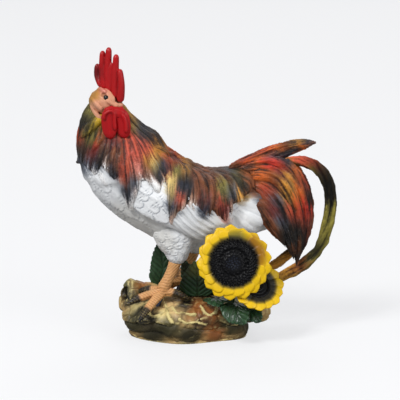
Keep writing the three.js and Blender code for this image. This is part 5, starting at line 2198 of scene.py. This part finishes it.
@dataclass
class Foliage:
    """Leaves and stalks between the bird's feet and the flowers."""

    leaves: tuple[str, ...] = (
        "leaf_front_large", "leaf_front_right", "leaf_under_flower", "leaf_beside_leg",
        "leaf_behind_leg", "leaf_rear_left", "leaf_rear_right",
    )
    upright: tuple[str, ...] = ("leaf_beside_leg", "leaf_behind_leg")
    thicket: tuple[SpaceLine, ...] = (
        ((-14, 12, 48), (-24, 10, 82), (-36, 12, 114)),
        ((4, 10, 48), (0, 6, 78), (-10, 8, 110)),
    )
    vein_step: float = 7.5
    vein_depth: float = 1.0

    def build(self) -> None:
        """Makes and dresses every leaf and stalk."""
        for number, leaf in enumerate(self.leaves):
            self.build_leaf(leaf, 61 + number)
        for name in ("large_stalk", "small_stalk"):
            casting = Casting(name, Painter(Tone.LEAF_GREEN), 71)
            casting.add_node(name)
            show(casting.cast(1.3, 3), name, LEAF_PAINT, "resin_green", name)

    def build_leaf(self, name: str, seed: int) -> None:
        """Cups one leaf and presses its veins.

        Args:
            name: The CAD node.
            seed: Start of its random draws.
        """
        low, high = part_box(name)
        middle = (low + high) / 2
        inner = low.y if "rear" in name else high.y
        foot = Vector((middle.x, inner, high.z))
        if name in self.upright:
            foot = Vector((middle.x, middle.y, low.z))
        blade = Blade.measure(name, foot)
        half = float(blade.halves.max()) / MM
        casting = Casting(name, LEAF_GREENS, seed)
        casting.add_lock(blade.trail(0, 0, 1), LockShape(1.25 * half, 2.6, Tip.LEAF))
        if name == "leaf_beside_leg":
            for knots in self.thicket:
                casting.add_lock(Trail.shown(knots), LockShape(14, 2.6, Tip.LEAF))
        show(casting.cast(1.0, 2, self.press_veins, 0.9), name, LEAF_PAINT, "resin_green", name)

    def press_veins(self, places: ndarray, normals: ndarray, flow: ndarray) -> ndarray:
        """Presses the midrib and side veins.

        Args:
            places: Vertex places.
            normals: Vertex normals.
            flow: Grain at each vertex.

        Returns:
            The moved places.
        """
        rib = np.exp(-((flow[:, 1] / (1.3 * MM)) ** 2))
        slant = (flow[:, 0] - 0.8 * np.abs(flow[:, 1])) / (self.vein_step * MM)
        vein = np.abs(np.cos(math.pi * slant)) ** 8
        fade = ease(0.0, 2 * MM, np.abs(flow[:, 1]))
        swell = 0.4 * np.abs(np.sin(math.pi * slant)) * fade
        move = swell - self.vein_depth * np.maximum(rib, 0.7 * vein)
        return places + normals * (move * MM)[:, None]


BASE_TOUCHES = touches({
    Tone.MOSS: ((-124, 76, 14),),
    Tone.BARK_CREAM: ((-113, 68, 9, 0.5), (-102, 46, 12, 0.7), (-62, 44, 12, 0.6)),
    Tone.BLACK: ((-111, 60, 13, 2.0), (-88, 42, 13, 2.0), (-29, 62, 12, 2.0)),
    Tone.BARK_RUST: ((-98, 74, 12), (-12, 54, 13), (9, 46, 13), (12, 16, 13)),
    Tone.DARK_OLIVE: ((-104, 28, 14), (-56, 26, 14), (32, 28, 14)),
    Tone.ROCK_TAN: ((-72, 60, 13), (-50, 62, 13), (-42, 46, 11)),
    Tone.BARK_DARK: ((-76, 14, 16), (-24, 14, 14), (66, 16, 16)),
    Tone.DARK_BROWN: ((-4, 36, 10),),
    Tone.BARK: ((-26, 34, 11), (84, 46, 13)),
    Tone.OLIVE: ((60, 44, 13), (-20, 80, 13)),
    Tone.LEAF_GREEN: ((10, 70, 14),),
    Tone.LEAF_DARK: ((40, 62, 13),),
})


@dataclass
class Base:
    """Bark mound with a hollow log end, crossed by pale roots."""

    ledge_height: float = 25.0
    ledge_depth: float = 5.0
    crack_seed: int = 7
    boulder: SpaceLine = ((36, -14, 32), (64, -20, 36), (96, -18, 40))
    roots: tuple[Line, ...] = (
        ((-66, 60), (-57, 50), (-55, 42), (-48, 33)),
        ((-52, 54), (-42, 47), (-32, 48), (-22, 44), (-14, 45)),
        ((-8, 54), (-2, 46), (6, 43), (14, 45), (16, 51)),
        ((-92, 52), (-84, 44), (-76, 40), (-66, 42)),
        ((-40, 40), (-28, 33), (-14, 34), (2, 29)),
    )

    def build(self) -> None:
        """Makes and dresses the base."""
        casting = Casting("base_shell", Painter(Tone.BARK, BASE_TOUCHES), 81)
        casting.add_node("base_shell", Vector((1, 0, 0)))
        skin = Skin(("base_shell",), 3.0, 4)
        cream = Painter(Tone.BARK_CREAM)
        for side in Side:
            for knots in self.roots:
                trail = Trail.drawn(skin, knots, side)
                casting.add_lock(trail, LockShape(1.8, 1.8, Tip.FINGER, 1.2, -0.8), cream)
        casting.add_lock(Trail.shown(self.boulder), LockShape(16, 15, Tip.FINGER))
        mesh = casting.cast(1.5, 2, self.weather, 1.5, 14)
        show(mesh, "base_shell", BARK_PAINT, "resin_bark", "base_shell")
        dress_node("base_plate", BASE_BOARD)

    def weather(self, places: ndarray, normals: ndarray, flow: ndarray) -> ndarray:
        """Breaks the smooth mound into ledges, rocks and cracks.

        Args:
            places: Vertex places.
            normals: Vertex normals.
            flow: Not used.

        Returns:
            The moved places.
        """
        noise.seed_set(self.crack_seed)
        moved = places.copy()
        for i, place in enumerate(places):
            spot = Vector(place)
            warp = spot + noise.noise_vector(spot * 30) * 0.012
            gaps, _ = noise.voronoi(warp * 42)
            crack = 1 - min(1.0, (gaps[1] - gaps[0]) / 0.16)
            broad = noise.fractal(spot * 24, 1.0, 2.0, 3)
            ridge = noise.ridged_multi_fractal(spot * 95, 1.0, 2.1, 3, 0.9, 2.0)
            ledge = self.ledge_height * MM + 10 * MM * noise.noise(spot * 20)
            under = 1 - min(1.0, max(0.0, (place[2] - ledge) / (6 * MM) + 0.5))
            rocks = 2.2 * broad + 0.6 * (ridge - 1.2) - 1.7 * crack + 1.0 * (0.5 - gaps[0])
            sink = rocks - self.ledge_depth * under
            foot = min(1.0, max(0.0, place[2] / (5 * MM)))
            moved[i] += normals[i] * max(-7.0, min(2.2, sink)) * foot * MM
        moved[:, 2] = np.maximum(moved[:, 2], 0)
        return moved


@dataclass
class Studio:
    """Pale floor, soft lamps and the camera."""

    aim: Vector = field(default_factory=lambda: Vector((-8.8, 0, 202.3)) * MM)
    distance: float = 4.155
    elevation: float = 12.0
    lens: float = 255.0
    floor_size: float = 60.0
    sky: float = 0.42
    floor_glow: float = 0.64
    lamps: tuple[tuple[str, tuple[float, float, float], float, float], ...] = (
        ("key_lamp", (-2.4, -3.4, 4.2), 1.8, 225.0),
        ("fill_lamp", (3.4, -3.0, 2.2), 2.8, 64.0),
        ("back_lamp", (0.7, 3.6, 3.6), 2.4, 40.0),
    )

    def build(self) -> None:
        """Sets up the whole studio."""
        scene = bpy.context.scene
        scene.view_settings.view_transform = "Standard"
        self.build_world()
        self.build_floor()
        for lamp in self.lamps:
            self.add_lamp(*lamp)
        camera = into_scene("camera", bpy.data.cameras.new("camera"))
        tilt = math.radians(self.elevation)
        back = Vector((0, -math.cos(tilt), math.sin(tilt)))
        camera.data.lens = self.lens
        camera.location = self.aim + back * self.distance
        camera.rotation_euler = (-back).to_track_quat("-Z", "Y").to_euler()
        scene.camera = camera

    def build_world(self) -> None:
        """Lights everything evenly, with a white backdrop behind the floor."""
        world = bpy.data.worlds.new("studio")
        bpy.context.scene.world = world
        world.use_nodes = True
        sheet = NodeSheet(world.node_tree)
        world.node_tree.nodes.clear()
        lit = sheet.add("ShaderNodeBackground", {"Color": (0.97, 0.98, 1.0, 1), "Strength": self.sky})
        seen = sheet.add("ShaderNodeBackground", {"Color": (0.9, 0.905, 0.92, 1), "Strength": 1.0})
        path = sheet.add("ShaderNodeLightPath", {})
        wires = {0: path.outputs["Is Camera Ray"], 1: lit.outputs[0], 2: seen.outputs[0]}
        mix = sheet.add("ShaderNodeMixShader", wires)
        sheet.add("ShaderNodeOutputWorld", {"Surface": mix.outputs[0]})

    def build_floor(self) -> None:
        """Lays the floor."""
        bm = bmesh.new()
        bmesh.ops.create_grid(bm, x_segments=1, y_segments=1, size=self.floor_size / 2)
        mesh = mesh_of(bm, "floor")
        floor = into_scene("floor", mesh)
        material, sheet, shader = start_material("pale_floor")
        path = sheet.add("ShaderNodeLightPath", {})
        glow = sheet.sum(path.outputs["Is Camera Ray"], self.floor_glow, "MULTIPLY")
        sheet.plug(shader, {
            "Base Color": (0.3, 0.301, 0.305, 1), "Roughness": 0.8, "Specular IOR Level": 0.1,
            "Emission Color": (0.98, 0.985, 1.0, 1), "Emission Strength": glow,
        })
        mesh.materials.append(material)

    def add_lamp(self, name: str, place: tuple[float, float, float], size: float, power: float) -> None:
        """Hangs one soft lamp that looks at the figure.

        Args:
            name: The lamp's name.
            place: Where it hangs, in metres.
            size: Length of its square face.
            power: Its power in watts.
        """
        data = bpy.data.lights.new(name, "AREA")
        data.size = size
        data.energy = power
        lamp = into_scene(name, data)
        lamp.location = place
        lamp.rotation_euler = (self.aim - Vector(place)).to_track_quat("-Z", "Y").to_euler()


def main() -> None:
    """Dresses the figure from its base to its comb."""
    logging.basicConfig(level=logging.INFO, format="%(relativeCreated)d %(message)s")
    skin = Skin(SKIN_NODES, 3.0, 8)
    Studio().build()
    Base().build()
    Foliage().build()
    Sunflower("large", 17, 51).build()
    Sunflower("small", 15, 55).build()
    Legs().build()
    Torso(skin).build()
    Cape(skin).build()
    Tail().build()
    Head().build()


if __name__ == "__main__":
    main()
